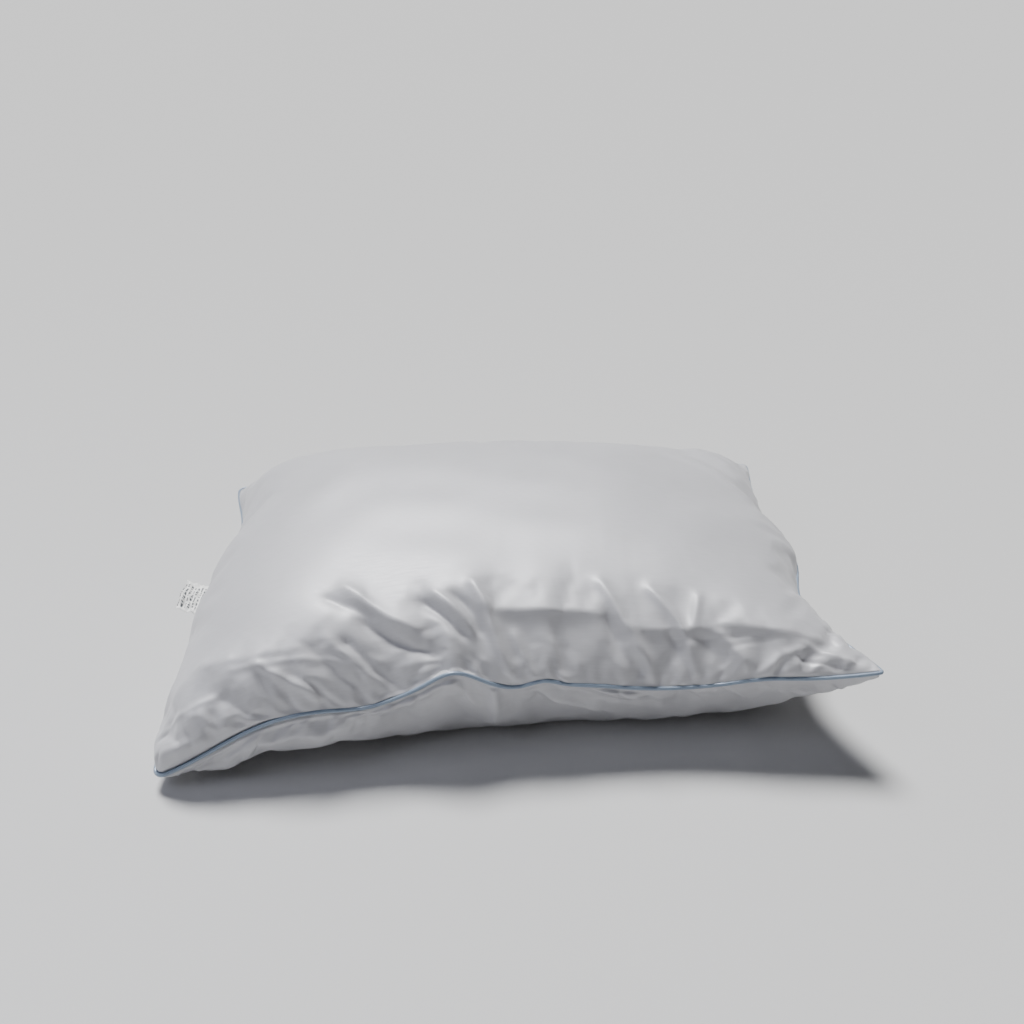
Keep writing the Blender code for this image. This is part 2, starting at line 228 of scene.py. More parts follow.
UNDERSIDE_FOLDS = (
    (((-0.74, -0.96), (-0.62, -0.92), (-0.50, -0.90)), 4.0, 12, 14),
    (((-0.86, -0.97), (-0.80, -0.93), (-0.72, -0.90)), -3.0, 8, 8),
    (((-0.42, -0.98), (-0.35, -0.92), (-0.28, -0.86)), -6.0, 10, 12),
    (((-0.44, -0.97), (-0.30, -0.955), (-0.18, -0.97)), 5.0, 10, 6),
    (((-0.19, -0.99), (-0.14, -0.94), (-0.10, -0.88)), 5.0, 8, 7),
    (((-0.06, -0.98), (-0.06, -0.88), (-0.065, -0.76)), 7.0, 8, 8),
    (((0.00, -0.98), (-0.01, -0.90), (-0.015, -0.82)), -4.0, 8, 8),
    (((0.02, -0.99), (0.12, -0.90), (0.26, -0.80)), 8.0, 10, 10),
    (((0.10, -0.97), (0.24, -0.91), (0.40, -0.86)), -7.0, 9, 11),
    (((0.57, -0.99), (0.585, -0.93), (0.60, -0.86)), 4.5, 7, 7),
    (((0.46, -0.98), (0.48, -0.92), (0.50, -0.86)), -4.0, 8, 8),
    (((0.66, -0.97), (0.74, -0.92), (0.82, -0.88)), -4.0, 8, 8),
    (((0.22, -0.99), (0.32, -0.95), (0.42, -0.93)), 4.0, 7, 9),
    (((0.72, -0.99), (0.66, -0.93), (0.62, -0.86)), 3.5, 7, 7),
)

# Broad rises and hollows of the fill: place, rise in millimetres and spread in millimetres
TOP_LUMPS = (((-0.45, 0.40), 5.0, 95), ((0.62, 0.62), -9.0, 85), ((0.15, 0.05), 2.0, 90))
UNDERSIDE_LUMPS = (
    ((-0.74, -0.86), 7.0, 30),
    ((-0.52, -0.86), 5.0, 30),
    ((-0.06, -0.86), 5.0, 34),
    ((-0.32, -0.86), -6.0, 22),
)

# Patches of fine creases: two corners, how many, and their heading
CREASED_PATCHES = (
    ((-0.48, -0.94), (-0.14, -0.76), 44, -0.35),
    ((-0.85, -0.97), (-0.50, -0.84), 8, -0.9),
    ((0.05, -0.97), (0.60, -0.84), 14, -1.2),
    ((0.62, -0.95), (0.95, -0.80), 6, -0.5),
)
CREASE_SEED = 21

# Puckers that the sewing draws along the seam
PUCKER_COUNT = 80
PUCKER_SEED = 12
FRONT_PUCKER_COUNT = 90

LABEL_PLACE = -0.08
LABEL_CELLS = (28, 24)
LABEL_IN_SEAM = 0.003
LABEL_OVER_PIPING = 0.004  # length that lies over the piping and isn't drawn in
LABEL_LEVEL = 0.0024  # of the tape over the piping's middle
LABEL_RISE, LABEL_CURL, LABEL_WAVE = 0.0009, 0.007, 0.0012
LEAF_OFFSET = 0.0003  # of each leaf from between the two, at the seam
LEAF_PARTING = 0.0012  # how much further apart they are at their free ends
CRINKLE_SEED = 3
CRINKLE_COUNT = 7
CRINKLE_HEIGHT = 0.00055
LABEL_DRAWN_IN = 0.82  # share of its reach that the crinkled tape still spans
CARE_LABEL_SIZE = (0.040, 0.028)
CONTENT_LABEL_SIZE = (0.036, 0.024)
PRINT_ROW = 0.0042  # from one row of bars to the next
PRINT_REACH = 0.016  # to each side of the label's middle

# Stage
HORIZON_BAND = 0.30  # height of the pale band, as the sine of its elevation
SUN_ANGLE = math.radians(20)
SUN_PLACE = (-0.17, 0.50, 1.0)
SOFTBOX_SIZE = 0.9
SOFTBOX_PLACE = (-1.0, -0.5, 1.2)
SOFTBOX_TARGET = (-0.25, -0.05, 0.08)
SOFTBOX_COLOUR = (0.82, 0.85, 1.0)
FLOOR_REACH = 40.0
FLOOR_DROP = 0.0003
LENS = 36.2
ORIGIN_SEEN = Vector((-0.0065, -0.1235, 1.168))  # how far right of, above and in front of the lens the origin lies


def linear(code):
    """Linear colour of an sRGB hex code."""
    shares = [int(code[at : at + 2], 16) / 255 for at in (1, 3, 5)]
    return tuple(share / 12.92 if share <= 0.04045 else ((share + 0.055) / 1.055) ** 2.4 for share in shares)


def colour_property(name, description, code):
    return bpy.props.FloatVectorProperty(
        name=name, description=description, subtype="COLOR", size=3, min=0, max=1, default=linear(code)
    )


def size_property(name, description, default):
    return bpy.props.FloatProperty(
        name=name, description=description, default=default, min=0, unit="LENGTH", subtype="DISTANCE", precision=5
    )


class PillowCasing(bpy.types.PropertyGroup):
    """Sizes and colour of the sateen casing."""

    length: size_property(
        "Length", "Corner to corner of the seam, side to side", 2 * (PIPING_HIGH.x - PIPING_RADIUS + CORNER_BLUNTING)
    )
    width: size_property(
        "Width", "Corner to corner of the seam, front to back", 2 * (PIPING_HIGH.y - PIPING_RADIUS + CORNER_BLUNTING)
    )
    loft: size_property("Loft", "Resting face to the top of the crown", PANEL_HIGH.z)
    cloth: size_property("Cloth thickness", "Thickness of the sateen", 0.0004)
    colour: colour_property("Sateen colour", "Colour of the casing", "#C3C3C7")


class PillowPiping(bpy.types.PropertyGroup):
    """Sizes and colours of the piping."""

    cord: size_property("Cord diameter", "Diameter of the filler cord", 0.0024)
    strip: size_property("Strip thickness", "Thickness of the bias strip", 0.0004)
    lay: size_property("Cord lay", "Length of one turn of the cord's strands", 0.012)
    colour: colour_property("Strip colour", "Colour of the bias strip", "#8796A9")
    cord_colour: colour_property("Cord colour", "Colour of the filler cord", "#E4E1D6")


class PillowThreads(bpy.types.PropertyGroup):
    """Sizes and colour of the sewing threads."""

    stitch: size_property("Stitch length", "Length of one lockstitch", 0.0025)
    thread: size_property("Thread diameter", "Diameter of the seam threads", 0.0003)
    chain: size_property("Overlock pitch", "Distance between two overlock loops", 0.003)
    colour: colour_property("Thread colour", "Colour of all the threads", "#B9BBBF")


class PillowLabels(bpy.types.PropertyGroup):
    """Sizes and colours of the labels."""

    care_width: size_property("Care label width", "Width of the upper leaf", CARE_LABEL_SIZE[0])
    care_reach: size_property("Care label reach", "How far the upper leaf stands out", CARE_LABEL_SIZE[1])
    content_width: size_property("Content label width", "Width of the lower leaf", CONTENT_LABEL_SIZE[0])
    content_reach: size_property("Content label reach", "How far the lower leaf stands out", CONTENT_LABEL_SIZE[1])
    thickness: size_property("Label thickness", "Thickness of the label tape", 0.00025)
    colour: colour_property("Tape colour", "Colour of the label tape", "#EDEDEA")
    mark_colour: colour_property("Mark colour", "Colour of the printed bars", "#55585C")


class PillowStage(bpy.types.PropertyGroup):
    """Floor, light and camera."""

    floor_colour: colour_property("Floor colour", "Colour of the floor", "#C8C8C8")
    key_power: bpy.props.FloatProperty(
        name="Key light", description="Strength of the overhead light", default=6.2, min=0
    )
    side_power: bpy.props.FloatProperty(
        name="Side light", description="Power of the cool light on the left", default=5.5, min=0, unit="POWER"
    )
    horizon: bpy.props.FloatProperty(
        name="Horizon", description="Strength of the pale band at the horizon", default=0.55, min=0
    )
    surround: bpy.props.FloatProperty(name="Surround", description="Strength of the pale surround", default=0.04, min=0)
    elevation: bpy.props.FloatProperty(
        name="Elevation",
        description="Camera's height above the horizon",
        default=math.radians(31.4),
        subtype="ANGLE",
    )
    azimuth: bpy.props.FloatProperty(
        name="Azimuth", description="Camera's turn round the pillow", default=math.radians(-3.7), subtype="ANGLE"
    )


def side_height(place, start, end, swells):
    """Height of the seam along one side, with place from 0 at its start to 1 at its end."""
    fade = 1 - (2 * place - 1) ** 8
    lift = sum(rise * np.exp(-(((place - centre) / spread) ** 2)) for centre, rise, spread in swells)
    return start + (end - start) * place + fade * lift


def seam_height(u, v):
    """Height of the seam's sides, carried smoothly across the pillow, with u and v from -1 to 1."""
    across, along = (u + 1) / 2, (v + 1) / 2
    front = side_height(across, FRONT_LEFT_HEIGHT, FRONT_RIGHT_HEIGHT, FRONT_SWELLS)
    back = side_height(across, BACK_LEFT_HEIGHT, BACK_RIGHT_HEIGHT, BACK_SWELLS)
    left = side_height(along, FRONT_LEFT_HEIGHT, BACK_LEFT_HEIGHT, LEFT_SWELLS)
    right = side_height(along, FRONT_RIGHT_HEIGHT, BACK_RIGHT_HEIGHT, RIGHT_SWELLS)
    front_corners = FRONT_LEFT_HEIGHT * (1 - across) + FRONT_RIGHT_HEIGHT * across
    back_corners = BACK_LEFT_HEIGHT * (1 - across) + BACK_RIGHT_HEIGHT * across
    corners = front_corners * (1 - along) + back_corners * along
    return front * (1 - along) + back * along + left * (1 - across) + right * across - corners


def rounded(u, v, half_length, half_width):
    """Places moved in from each corner so that the seam turns there on an arc."""
    u, v = np.array(u, float), np.array(v, float)
    made_u, made_v = u.copy(), v.copy()
    for name, radius in CORNER_RADII.items():
        across = -1 if "left" in name else 1
        along = -1 if "front" in name else 1
        from_end = (1 - u * across) * half_length
        from_side = (1 - v * along) * half_width
        inset = np.minimum(from_end, from_side)
        turn_radius = radius - inset
        apart = np.abs(from_end - from_side)
        inside = (turn_radius > 1e-9) & (apart < turn_radius)
        turn = np.pi / 4 * (1 - apart / np.where(inside, turn_radius, 1))
        near = radius - turn_radius * np.cos(turn)
        far = radius - turn_radius * np.sin(turn)
        end_first = from_end < from_side
        new_end = np.where(end_first, near, far)
        new_side = np.where(end_first, far, near)
        made_u = np.where(inside, across * (1 - new_end / half_length), made_u)
        made_v = np.where(inside, along * (1 - new_side / half_width), made_v)
    return made_u, made_v


def seam_surface(u, v, casing):
    """The seam's outline carried across the pillow: points of the surface that the piped seam lies in."""
    half_length, half_width = casing.length / 2, casing.width / 2
    u, v = rounded(u, v, half_length, half_width)
    blunting = CORNER_BLUNTING * np.abs(u * v) ** BLUNTING_SPREAD
    side_pull = LEFT_SIDE_PULL + (RIGHT_SIDE_PULL - LEFT_SIDE_PULL) * (u + 1) / 2
    reach = FRONT_LEFT_REACH * (1 - u) * (1 - v) / 4
    sharp = FRONT_RIGHT_REACH * ((1 + u) * (1 - v) / 4) ** 6
    tucked = 0
    for end, place, depth, spread in END_TUCKS:
        tucked = tucked - end * depth * np.exp(-((((v + 1) / 2 - place) / spread) ** 2)) * np.clip(end * u, 0, 1) ** 2
    long_pull = np.where(v < 0, FRONT_SIDE_PULL, BACK_SIDE_PULL)
    x = u * (half_length - side_pull * (1 - v * v) - blunting) - reach + sharp + tucked * (1 - v**8)
    y = v * (half_width - long_pull * (1 - u * u) - blunting) - reach - 0.3 * sharp
    return np.stack([x, y, seam_height(u, v)], -1)


def crown(u, v, steepness):
    """How full the pillow is here, from 0 at the seam to 1 in the middle."""
    from_ends = np.clip(1 - np.abs(u) ** CROWN_FULLNESS, 0, 1)
    from_sides = np.clip(1 - np.abs(v) ** CROWN_FULLNESS, 0, 1)
    both = from_ends * from_sides
    return (both / np.maximum(from_ends + from_sides - both, 1e-9)) ** steepness


def ears(u, v, casing):
    """Share of the fullness that is kept near the flat corners."""
    kept = np.ones(np.shape(u))
    for name, (lost, spread) in CORNER_EARS.items():
        from_end = (1 + u if "left" in name else 1 - u) * casing.length / 2
        from_side = (1 + v if "front" in name else 1 - v) * casing.width / 2
        kept = kept * (1 - lost * np.exp(-(np.hypot(from_end, from_side) / spread) ** 2))
    return kept


def top_surface(u, v, casing):
    points = seam_surface(u, v, casing)
    fullness = crown(u, v, TOP_STEEPNESS) * ears(u, v, casing)
    points[..., 2] += (casing.loft - points[..., 2]) * fullness
    halfway = 4 * fullness * (1 - fullness)
    points[..., 0] += halfway * (OVERHANG["right"] * np.clip(u, 0, 1) ** 6 - OVERHANG["left"] * np.clip(-u, 0, 1) ** 6)
    points[..., 1] += halfway * OVERHANG["back"] * np.clip(v, 0, 1) ** 6
    return points


def under_surface(u, v, casing):
    points = seam_surface(u, v, casing)
    spread = UNDERSIDE_SPREAD_LEFT + (UNDERSIDE_SPREAD_RIGHT - UNDERSIDE_SPREAD_LEFT) * ((u + 1) / 2) ** 1.5
    fullness = np.minimum(1, spread * crown(u, v, UNDERSIDE_STEEPNESS) * ears(u, v, casing))
    points[..., 2] *= 1 - fullness
    belly = UNDERSIDE_BELLY_LEFT + (UNDERSIDE_BELLY_RIGHT - UNDERSIDE_BELLY_LEFT) * smooth_rise((u + 0.6) / 0.8)
    points[..., 1] -= belly * 4 * fullness * (1 - fullness) * np.clip(-v, 0, 1) ** 4 * (1 - u**6)
    return points


def cloth_lines(spacing, size):
    """Grid lines from -1 to 1 with these distances between them, over cloth of this size."""
    even = np.linspace(-1, 1, 4001)
    places, distances = np.array(spacing, float).T
    density = size / 2 / (np.interp(even, places, distances) / 1000)
    run = np.concatenate([[0], np.cumsum((density[1:] + density[:-1]) / 2 * np.diff(even))])
    cells = 2 * round(run[-1] / 2)
    return np.interp(np.linspace(0, run[-1], cells + 1), run, even)


PANEL_LINES = (cloth_lines(LINES_ACROSS, CUT_LENGTH), cloth_lines(LINES_BACK, CUT_WIDTH))
PANEL_CELLS = (len(PANEL_LINES[0]) - 1, len(PANEL_LINES[1]) - 1)
RELAX_LINES = tuple(np.linspace(-1, 1, cells + 1) for cells in RELAX_CELLS)


def unit(vectors):
    return vectors / np.linalg.norm(vectors, axis=1, keepdims=True)


def run_along(points):
    """How far along its line each point lies."""
    return np.concatenate([[0], np.cumsum(np.linalg.norm(np.diff(points, axis=0), axis=1))])


def along_cloth(surface, casing, axis, lines):
    """The u or v at each grid line, spaced by the cloth's own length through the middle of the panel."""
    even = np.linspace(-1, 1, 2001)
    middle = np.zeros_like(even)
    points = surface(even, middle, casing) if axis == 0 else surface(middle, even, casing)
    run = run_along(points)
    return np.interp((lines + 1) / 2 * run[-1], run, even)


def cloth_grid(surface, casing, lines):
    """Cloth places (s, t) of a panel's grid, and its points. Along the seam both panels are spaced alike."""
    s_lines, t_lines = lines
    s, t = np.meshgrid(s_lines, t_lines, indexing="ij")
    by_length = along_cloth(surface, casing, 0, s_lines)[:, None]
    by_width = along_cloth(surface, casing, 1, t_lines)[None, :]
    to_front, to_end = np.abs(t) ** 6, np.abs(s) ** 6
    u = by_length * (1 - to_front) + s * to_front
    v = by_width * (1 - to_end) + t * to_end
    return s, t, surface(u, v, casing)


def grid_normals(points, up):
    """Unit normals of a grid of points, on the side given by up."""
    along = np.gradient(points, axis=0)
    across = np.gradient(points, axis=1)
    normals = np.cross(along, across) * up
    return normals / np.maximum(np.linalg.norm(normals, axis=-1, keepdims=True), 1e-12)


def smoothed_line(places):
    """A line through these places with its turns rounded."""
    line = np.array(places, float)
    for _ in range(2):
        cut = np.empty((2 * len(line), 2))
        cut[0], cut[-1] = line[0], line[-1]
        cut[1:-1:2] = line[:-1] * 0.75 + line[1:] * 0.25
        cut[2:-1:2] = line[:-1] * 0.25 + line[1:] * 0.75
        line = cut
    return line


def add_fold(height, x_lines, y_lines, fold):
    """Adds one fold to the heights over the cloth. It rises and dies away along its line, and dips beside it."""
    places, most, left_spread, right_spread = fold
    line = smoothed_line(places) * (CUT_LENGTH / 2, CUT_WIDTH / 2)
    margin = 5 * max(left_spread, right_spread) / 1000
    low, high = line.min(0) - margin, line.max(0) + margin
    columns = slice(*np.searchsorted(x_lines, (low[0], high[0])))
    rows = slice(*np.searchsorted(y_lines, (low[1], high[1])))
    x, y = np.meshgrid(x_lines[columns], y_lines[rows], indexing="ij")
    near = np.full(x.shape, np.inf)
    side = np.zeros(x.shape)
    share = np.zeros(x.shape)
    for index, (start, end) in enumerate(zip(line, line[1:])):
        step = end - start
        from_x, from_y = x - start[0], y - start[1]
        part = np.clip((from_x * step[0] + from_y * step[1]) / (step @ step), 0, 1)
        distance = np.hypot(from_x - part * step[0], from_y - part * step[1])
        closer = distance < near
        near = np.where(closer, distance, near)
        across = (step[0] * from_y - step[1] * from_x) / (np.hypot(*step) * np.maximum(distance, 1e-9))
        side = np.where(closer, np.clip(across, -1, 1), side)
        share = np.where(closer, (index + part) / (len(line) - 1), share)
    spread = (left_spread * (1 + side) + right_spread * (1 - side)) / 2000
    strength = np.sin(np.pi * np.clip(share * 0.82 + 0.12, 0, 1)) ** 0.8
    crest = np.exp(-(np.hypot(near, CREST) - CREST) / (CREST_SPREAD * spread))
    profile = crest - DIP_DEPTH * np.exp(-((near / (DIP_SPREAD * spread)) ** 2))
    height[columns, rows] += most / 1000 * strength * profile


def softened(height):
    """The heights averaged with their neighbours, so that no fold is sharper than the grid."""
    for axis in (0, 1):
        padded = np.pad(height, [(1, 1) if axis == other else (0, 0) for other in (0, 1)], mode="edge")
        before, after = (padded[:-2], padded[2:]) if axis == 0 else (padded[:, :-2], padded[:, 2:])
        height = height / 2 + (before + after) / 4
    return height


def seam_puckers():
    """Short low folds that run in from the seam all round, at uneven places."""
    chance = np.random.default_rng(PUCKER_SEED)
    made = []
    for _ in range(PUCKER_COUNT):
        place = chance.uniform(-0.97, 0.97)
        length = chance.uniform(0.05, 0.16)
        lean = chance.uniform(-0.05, 0.05)
        height = chance.uniform(0.4, 1.2) * chance.choice([-1, 1])
        spread = chance.uniform(3, 6)
        side = chance.integers(4)
        if side < 2:
            edge = -1 if side == 0 else 1
            line = ((place + lean, edge * (1 - length)), (place, edge))
        else:
            edge = -1 if side == 2 else 1
            length *= 0.7
            line = ((edge * (1 - length), place + lean), (edge, place))
        made.append((line, height, spread, spread))
    for _ in range(FRONT_PUCKER_COUNT):
        place = chance.uniform(-0.90, 0.93)
        length = chance.uniform(0.04, 0.15)
        line = ((place + chance.uniform(-0.03, 0.03), length - 1), (place, -1))
        spread = chance.uniform(3.0, 5.5)
        made.append((line, chance.uniform(0.7, 1.7) * chance.choice([-1, 1]), spread, spread))
    return made


def smooth_rise(share):
    share = np.clip(share, 0, 1)
    return share * share * (3 - 2 * share)


def fine_creases():
    """Short fine creases where the cloth bunches against the front seam."""
    chance = np.random.default_rng(CREASE_SEED)
    made = []
    for (low_s, low_t), (high_s, high_t), count, heading in CREASED_PATCHES:
        for _ in range(count):
            s, t = chance.uniform(low_s, high_s), chance.uniform(low_t, high_t)
            turn = heading + chance.normal() * 0.35
            half = chance.uniform(0.02, 0.05)
            reach = (half * math.cos(turn), half * math.sin(turn) * CUT_LENGTH / CUT_WIDTH)
            bend = chance.normal() * 0.012
            line = ((s - reach[0], t - reach[1]), (s + bend, t + bend), (s + reach[0], t + reach[1]))
            made.append((line, chance.uniform(0.4, 1.2) * chance.choice([-1, 1]), 3.8, 3.8))
    return made


def undulation(x, y, seed, height):
    """Low uneven swells of the fill under the cloth."""
    chance = np.random.default_rng(seed)
    total = np.zeros(x.shape)
    for _ in range(14):
        turn = chance.uniform(0, 2 * np.pi)
        length = chance.uniform(0.07, 0.20)
        phase = chance.uniform(0, 2 * np.pi)
        total += np.sin(2 * np.pi * (x * np.cos(turn) + y * np.sin(turn)) / length + phase) * length
    return total / total.std() * height


def resample(grid, old_lines, new_lines, axis):
    """Values of a grid at new lines along one axis, on a smooth cubic curve."""
    grid = np.moveaxis(grid, axis, 0)
    step = old_lines[1] - old_lines[0]
    place = (new_lines - old_lines[0]) / step
    base = np.clip(np.floor(place).astype(int), 0, len(old_lines) - 2)
    part = (place - base).reshape(-1, *[1] * (grid.ndim - 1))
    last = len(old_lines) - 1
    before, here = grid[np.clip(base - 1, 0, last)], grid[base]
    after, beyond = grid[base + 1], grid[np.clip(base + 2, 0, last)]
    made = here + 0.5 * part * (
        after
        - before
        + part * (2 * before - 5 * here + 4 * after - beyond + part * (3 * (here - after) + beyond - before))
    )
    return np.moveaxis(made, 0, axis)


def grid_quads(index, turned):
    """Faces of a grid of point numbers."""
    corners = [index[:-1, :-1], index[1:, :-1], index[1:, 1:], index[:-1, 1:]]
    return np.stack(corners[::-1] if turned else corners, -1).reshape(-1, 4)


def casing_faces(cells):
    """Faces of both panels joined at the seam, and where each underside grid place is in the list of points."""
    columns, rows = cells[0] + 1, cells[1] + 1
    top = np.arange(columns * rows).reshape(columns, rows)
    under = top.copy()
    inner = np.zeros((columns, rows), bool)
    inner[1:-1, 1:-1] = True
    under[inner] = columns * rows + np.arange(inner.sum())
    return np.concatenate([grid_quads(top, False), grid_quads(under, True)]), top, under


def relaxed_moves(casing):
    """How the filled casing settles: a cloth simulation of both panels, held at the seam and at the resting face.

    The cloth is a little larger than the form, so the pressure of the fill draws it into natural puckers.
    Returns each panel's moves by grid place.
    """
    _, _, top = cloth_grid(top_surface, casing, RELAX_LINES)
    _, _, under = cloth_grid(under_surface, casing, RELAX_LINES)
    faces, top_index, under_index = casing_faces(RELAX_CELLS)
    points = np.zeros((under_index.max() + 1, 3))
    points[under_index.ravel()] = under.reshape(-1, 3)
    points[top_index.ravel()] = top.reshape(-1, 3)
    start = points.copy()
    chance = np.random.default_rng(RIPPLE_SEED)
    for _ in range(RIPPLE_COUNT):
        heading = chance.normal(size=3)
        heading /= np.linalg.norm(heading)
        length, phase = chance.uniform(0.02, 0.06), chance.uniform(0, 2 * np.pi)
        ripple = RIPPLE_HEIGHT * np.sin(2 * np.pi * (points @ heading) / length + phase)
        start[:, 2] += ripple * (points[:, 2] > 1e-5)

    mesh = bpy.data.meshes.new("casing_relaxing")
    mesh.from_pydata(start.tolist(), [], faces.tolist())
    held = bpy.data.objects.new("casing_relaxing", mesh)
    bpy.context.scene.collection.objects.link(held)
    fixed = np.zeros(len(points), bool)
    edge = np.ones(top_index.shape, bool)
    edge[1:-1, 1:-1] = False
    fixed[top_index[edge]] = True
    fixed |= points[:, 2] < 1e-6
    pins = held.vertex_groups.new(name="held")
    pins.add(np.flatnonzero(fixed).tolist(), 1.0, "REPLACE")
    cloth = held.modifiers.new("relax", "CLOTH")
    for name, value in RELAX_SETTINGS.items():
        setattr(cloth.settings, name, value)
    cloth.settings.effector_weights.gravity = 0
    cloth.collision_settings.use_collision = False
    scene = bpy.context.scene
    scene.frame_start, scene.frame_end = 1, RELAX_FRAMES
    cloth.point_cache.frame_start, cloth.point_cache.frame_end = 1, RELAX_FRAMES
    for number in range(1, RELAX_FRAMES + 1):
        scene.frame_set(number)
    evaluated = held.evaluated_get(bpy.context.evaluated_depsgraph_get())
    settled = np.empty(len(points) * 3, np.float32)
    evaluated.to_mesh().vertices.foreach_get("co", settled)
    evaluated.to_mesh_clear()
    bpy.data.objects.remove(held)
    bpy.data.meshes.remove(mesh)
    scene.frame_set(1)
    moves = settled.reshape(-1, 3) - points
    if not np.isfinite(moves).all():
        raise RuntimeError("the casing's cloth simulation did not settle")
    length = np.linalg.norm(moves, axis=1, keepdims=True)
    moves *= np.minimum(1, MOST_MOVE / np.maximum(length, 1e-9))
    return moves[top_index], moves[under_index]


@functools.lru_cache(maxsize=None)
def casing_panels(scene_name):
    """Cloth places and finished outer points of the top and bottom panels."""
    casing = bpy.data.scenes[scene_name].pillow_casing
    top_moves, under_moves = relaxed_moves(casing)
    made = []
    for surface, up, moves, folds, lumps, crumples, seed in (
        (top_surface, 1, top_moves, TOP_FOLDS, TOP_LUMPS, fine_creases(), 5),
        (under_surface, -1, under_moves, UNDERSIDE_FOLDS, UNDERSIDE_LUMPS, (), 6),
    ):
        s, t, points = cloth_grid(surface, casing, PANEL_LINES)
        x, y = s * CUT_LENGTH / 2, t * CUT_WIDTH / 2
        from_seam = np.minimum(CUT_LENGTH / 2 - np.abs(x), CUT_WIDTH / 2 - np.abs(y))
        near_seam = smooth_rise(from_seam / FOLD_RAMP)
        height = undulation(x, y, seed, SWELL_HEIGHT)
        broad = smooth_rise(from_seam / LUMP_RAMP)
        for place, rise, spread in lumps:
            away = np.hypot(x - place[0] * CUT_LENGTH / 2, y - place[1] * CUT_WIDTH / 2)
            height += rise / 1000 * np.exp(-((away * 1000 / spread) ** 2)) * broad
        for fold in (*folds, *seam_puckers(), *crumples):
            add_fold(height, x[:, 0], y[0], fold)
        height = softened(height)
        settled = resample(resample(moves, RELAX_LINES[0], s[:, 0], 0), RELAX_LINES[1], t[0], 1)
        share = MOVES_KEPT + MOVES_ADDED * np.exp(-((from_seam / MOVES_REACH) ** 2))
        points = points + settled * share[..., None]
        form_height = points[..., 2].copy()
        points += grid_normals(points, up) * (height * near_seam)[..., None]
        if up < 0:
            points[..., 2] = np.minimum(points[..., 2], form_height)
        points[..., 2] = np.maximum(points[..., 2], LEAST_HEIGHT[up])
        made.append((s, t, points))
    return made


def seam_stations(casing):
    """The seam once round, anticlockwise from the front left corner: points, ways out, ways up, and grid places."""
    s_lines, t_lines = PANEL_LINES
    columns, rows = PANEL_CELLS
    places = [(i, 0) for i in range(columns)] + [(columns, j) for j in range(rows)]
    places += [(i, rows) for i in range(columns, 0, -1)] + [(0, j) for j in range(rows, 0, -1)]
    u = np.array([s_lines[i] for i, _ in places])
    v = np.array([t_lines[j] for _, j in places])
    points = seam_surface(u, v, casing)
    ahead = unit(np.roll(points, -1, 0) - points)
    tangent = unit(ahead + np.roll(ahead, 1, 0))
    out = points - seam_surface(u * 0.99, v * 0.99, casing)
    out = unit(out - tangent * (out * tangent).sum(1, keepdims=True))
    return points, out, np.cross(out, tangent), places


def seam_line(casing, outward, upward):
    points, out, up, _ = seam_stations(casing)
    return points + out * outward + up * upward


def new_object(name, points, faces, finish, edges=()):
    """A smooth mesh object at the origin."""
    mesh = bpy.data.meshes.new(name)
    mesh.from_pydata(np.asarray(points, float).tolist(), list(edges), [list(map(int, face)) for face in faces])
    mesh.validate()
    made = bpy.data.objects.new(name, mesh)
    bpy.context.scene.collection.objects.link(made)
    if finish:
        mesh.materials.append(finish)
    if len(mesh.polygons):
        mesh.shade_smooth()
    return made


def lay_flat(made, places):
    """Gives each point its place on the flat cloth, in metres, as the UV map that the weave is drawn on."""
    corner_index = np.empty(len(made.data.loops), np.int32)
    made.data.loops.foreach_get("vertex_index", corner_index)
    layer = made.data.uv_layers.new(name="cloth")
    layer.uv.foreach_set("vector", places[corner_index].astype(np.float32).ravel())


def stand_in(made, node):
    """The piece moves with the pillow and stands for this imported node."""
    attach(made, "pillow")
    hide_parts(node)


def plain_mesh(made):
    """The object with its modifiers' result as its own mesh."""
    graph = bpy.context.evaluated_depsgraph_get()
    mesh = bpy.data.meshes.new_from_object(made.evaluated_get(graph))
    mesh.name = made.name
    old = made.data
    made.modifiers.clear()
    made.data = mesh
    bpy.data.meshes.remove(old)
    if not mesh.polygons:
        raise RuntimeError(f"{made.name} has no faces")
    return made


def feed(tree, node, inputs):
    """Sets a node's inputs. Each is a value, or the socket or the node's first output that feeds it."""
    for key, value in inputs.items():
        source = value.outputs[0] if isinstance(value, bpy.types.Node) else value
        if isinstance(source, bpy.types.NodeSocket):
            tree.links.new(source, node.inputs[key])
        else:
            node.inputs[key].default_value = source


def add_node(tree, kind, inputs=None, **settings):
    made = tree.nodes.new(kind)
    for name, value in settings.items():
        setattr(made, name, value)
    feed(tree, made, inputs or {})
    return made


def new_finish(name):
    """A material with only its shader and output, as (material, tree, shader)."""
    made = bpy.data.materials.new(name)
    made.use_nodes = True
    return made, made.node_tree, made.node_tree.nodes["Principled BSDF"]


def tinted(tree, factor, first, second):
    """Colour mixed from first to second by a factor socket."""
    mix = add_node(tree, "ShaderNodeMix", {"Factor": factor}, data_type="RGBA")
    for socket, colour in ((mix.inputs[6], first), (mix.inputs[7], second)):
        socket.default_value = (*colour, 1)
    return mix.outputs[2]


def shaded(colour, share):
    return tuple(part * share for part in colour)


NOISE_RANGE = {"From Min": 0.3, "From Max": 0.7}  # where most of a noise texture's values lie


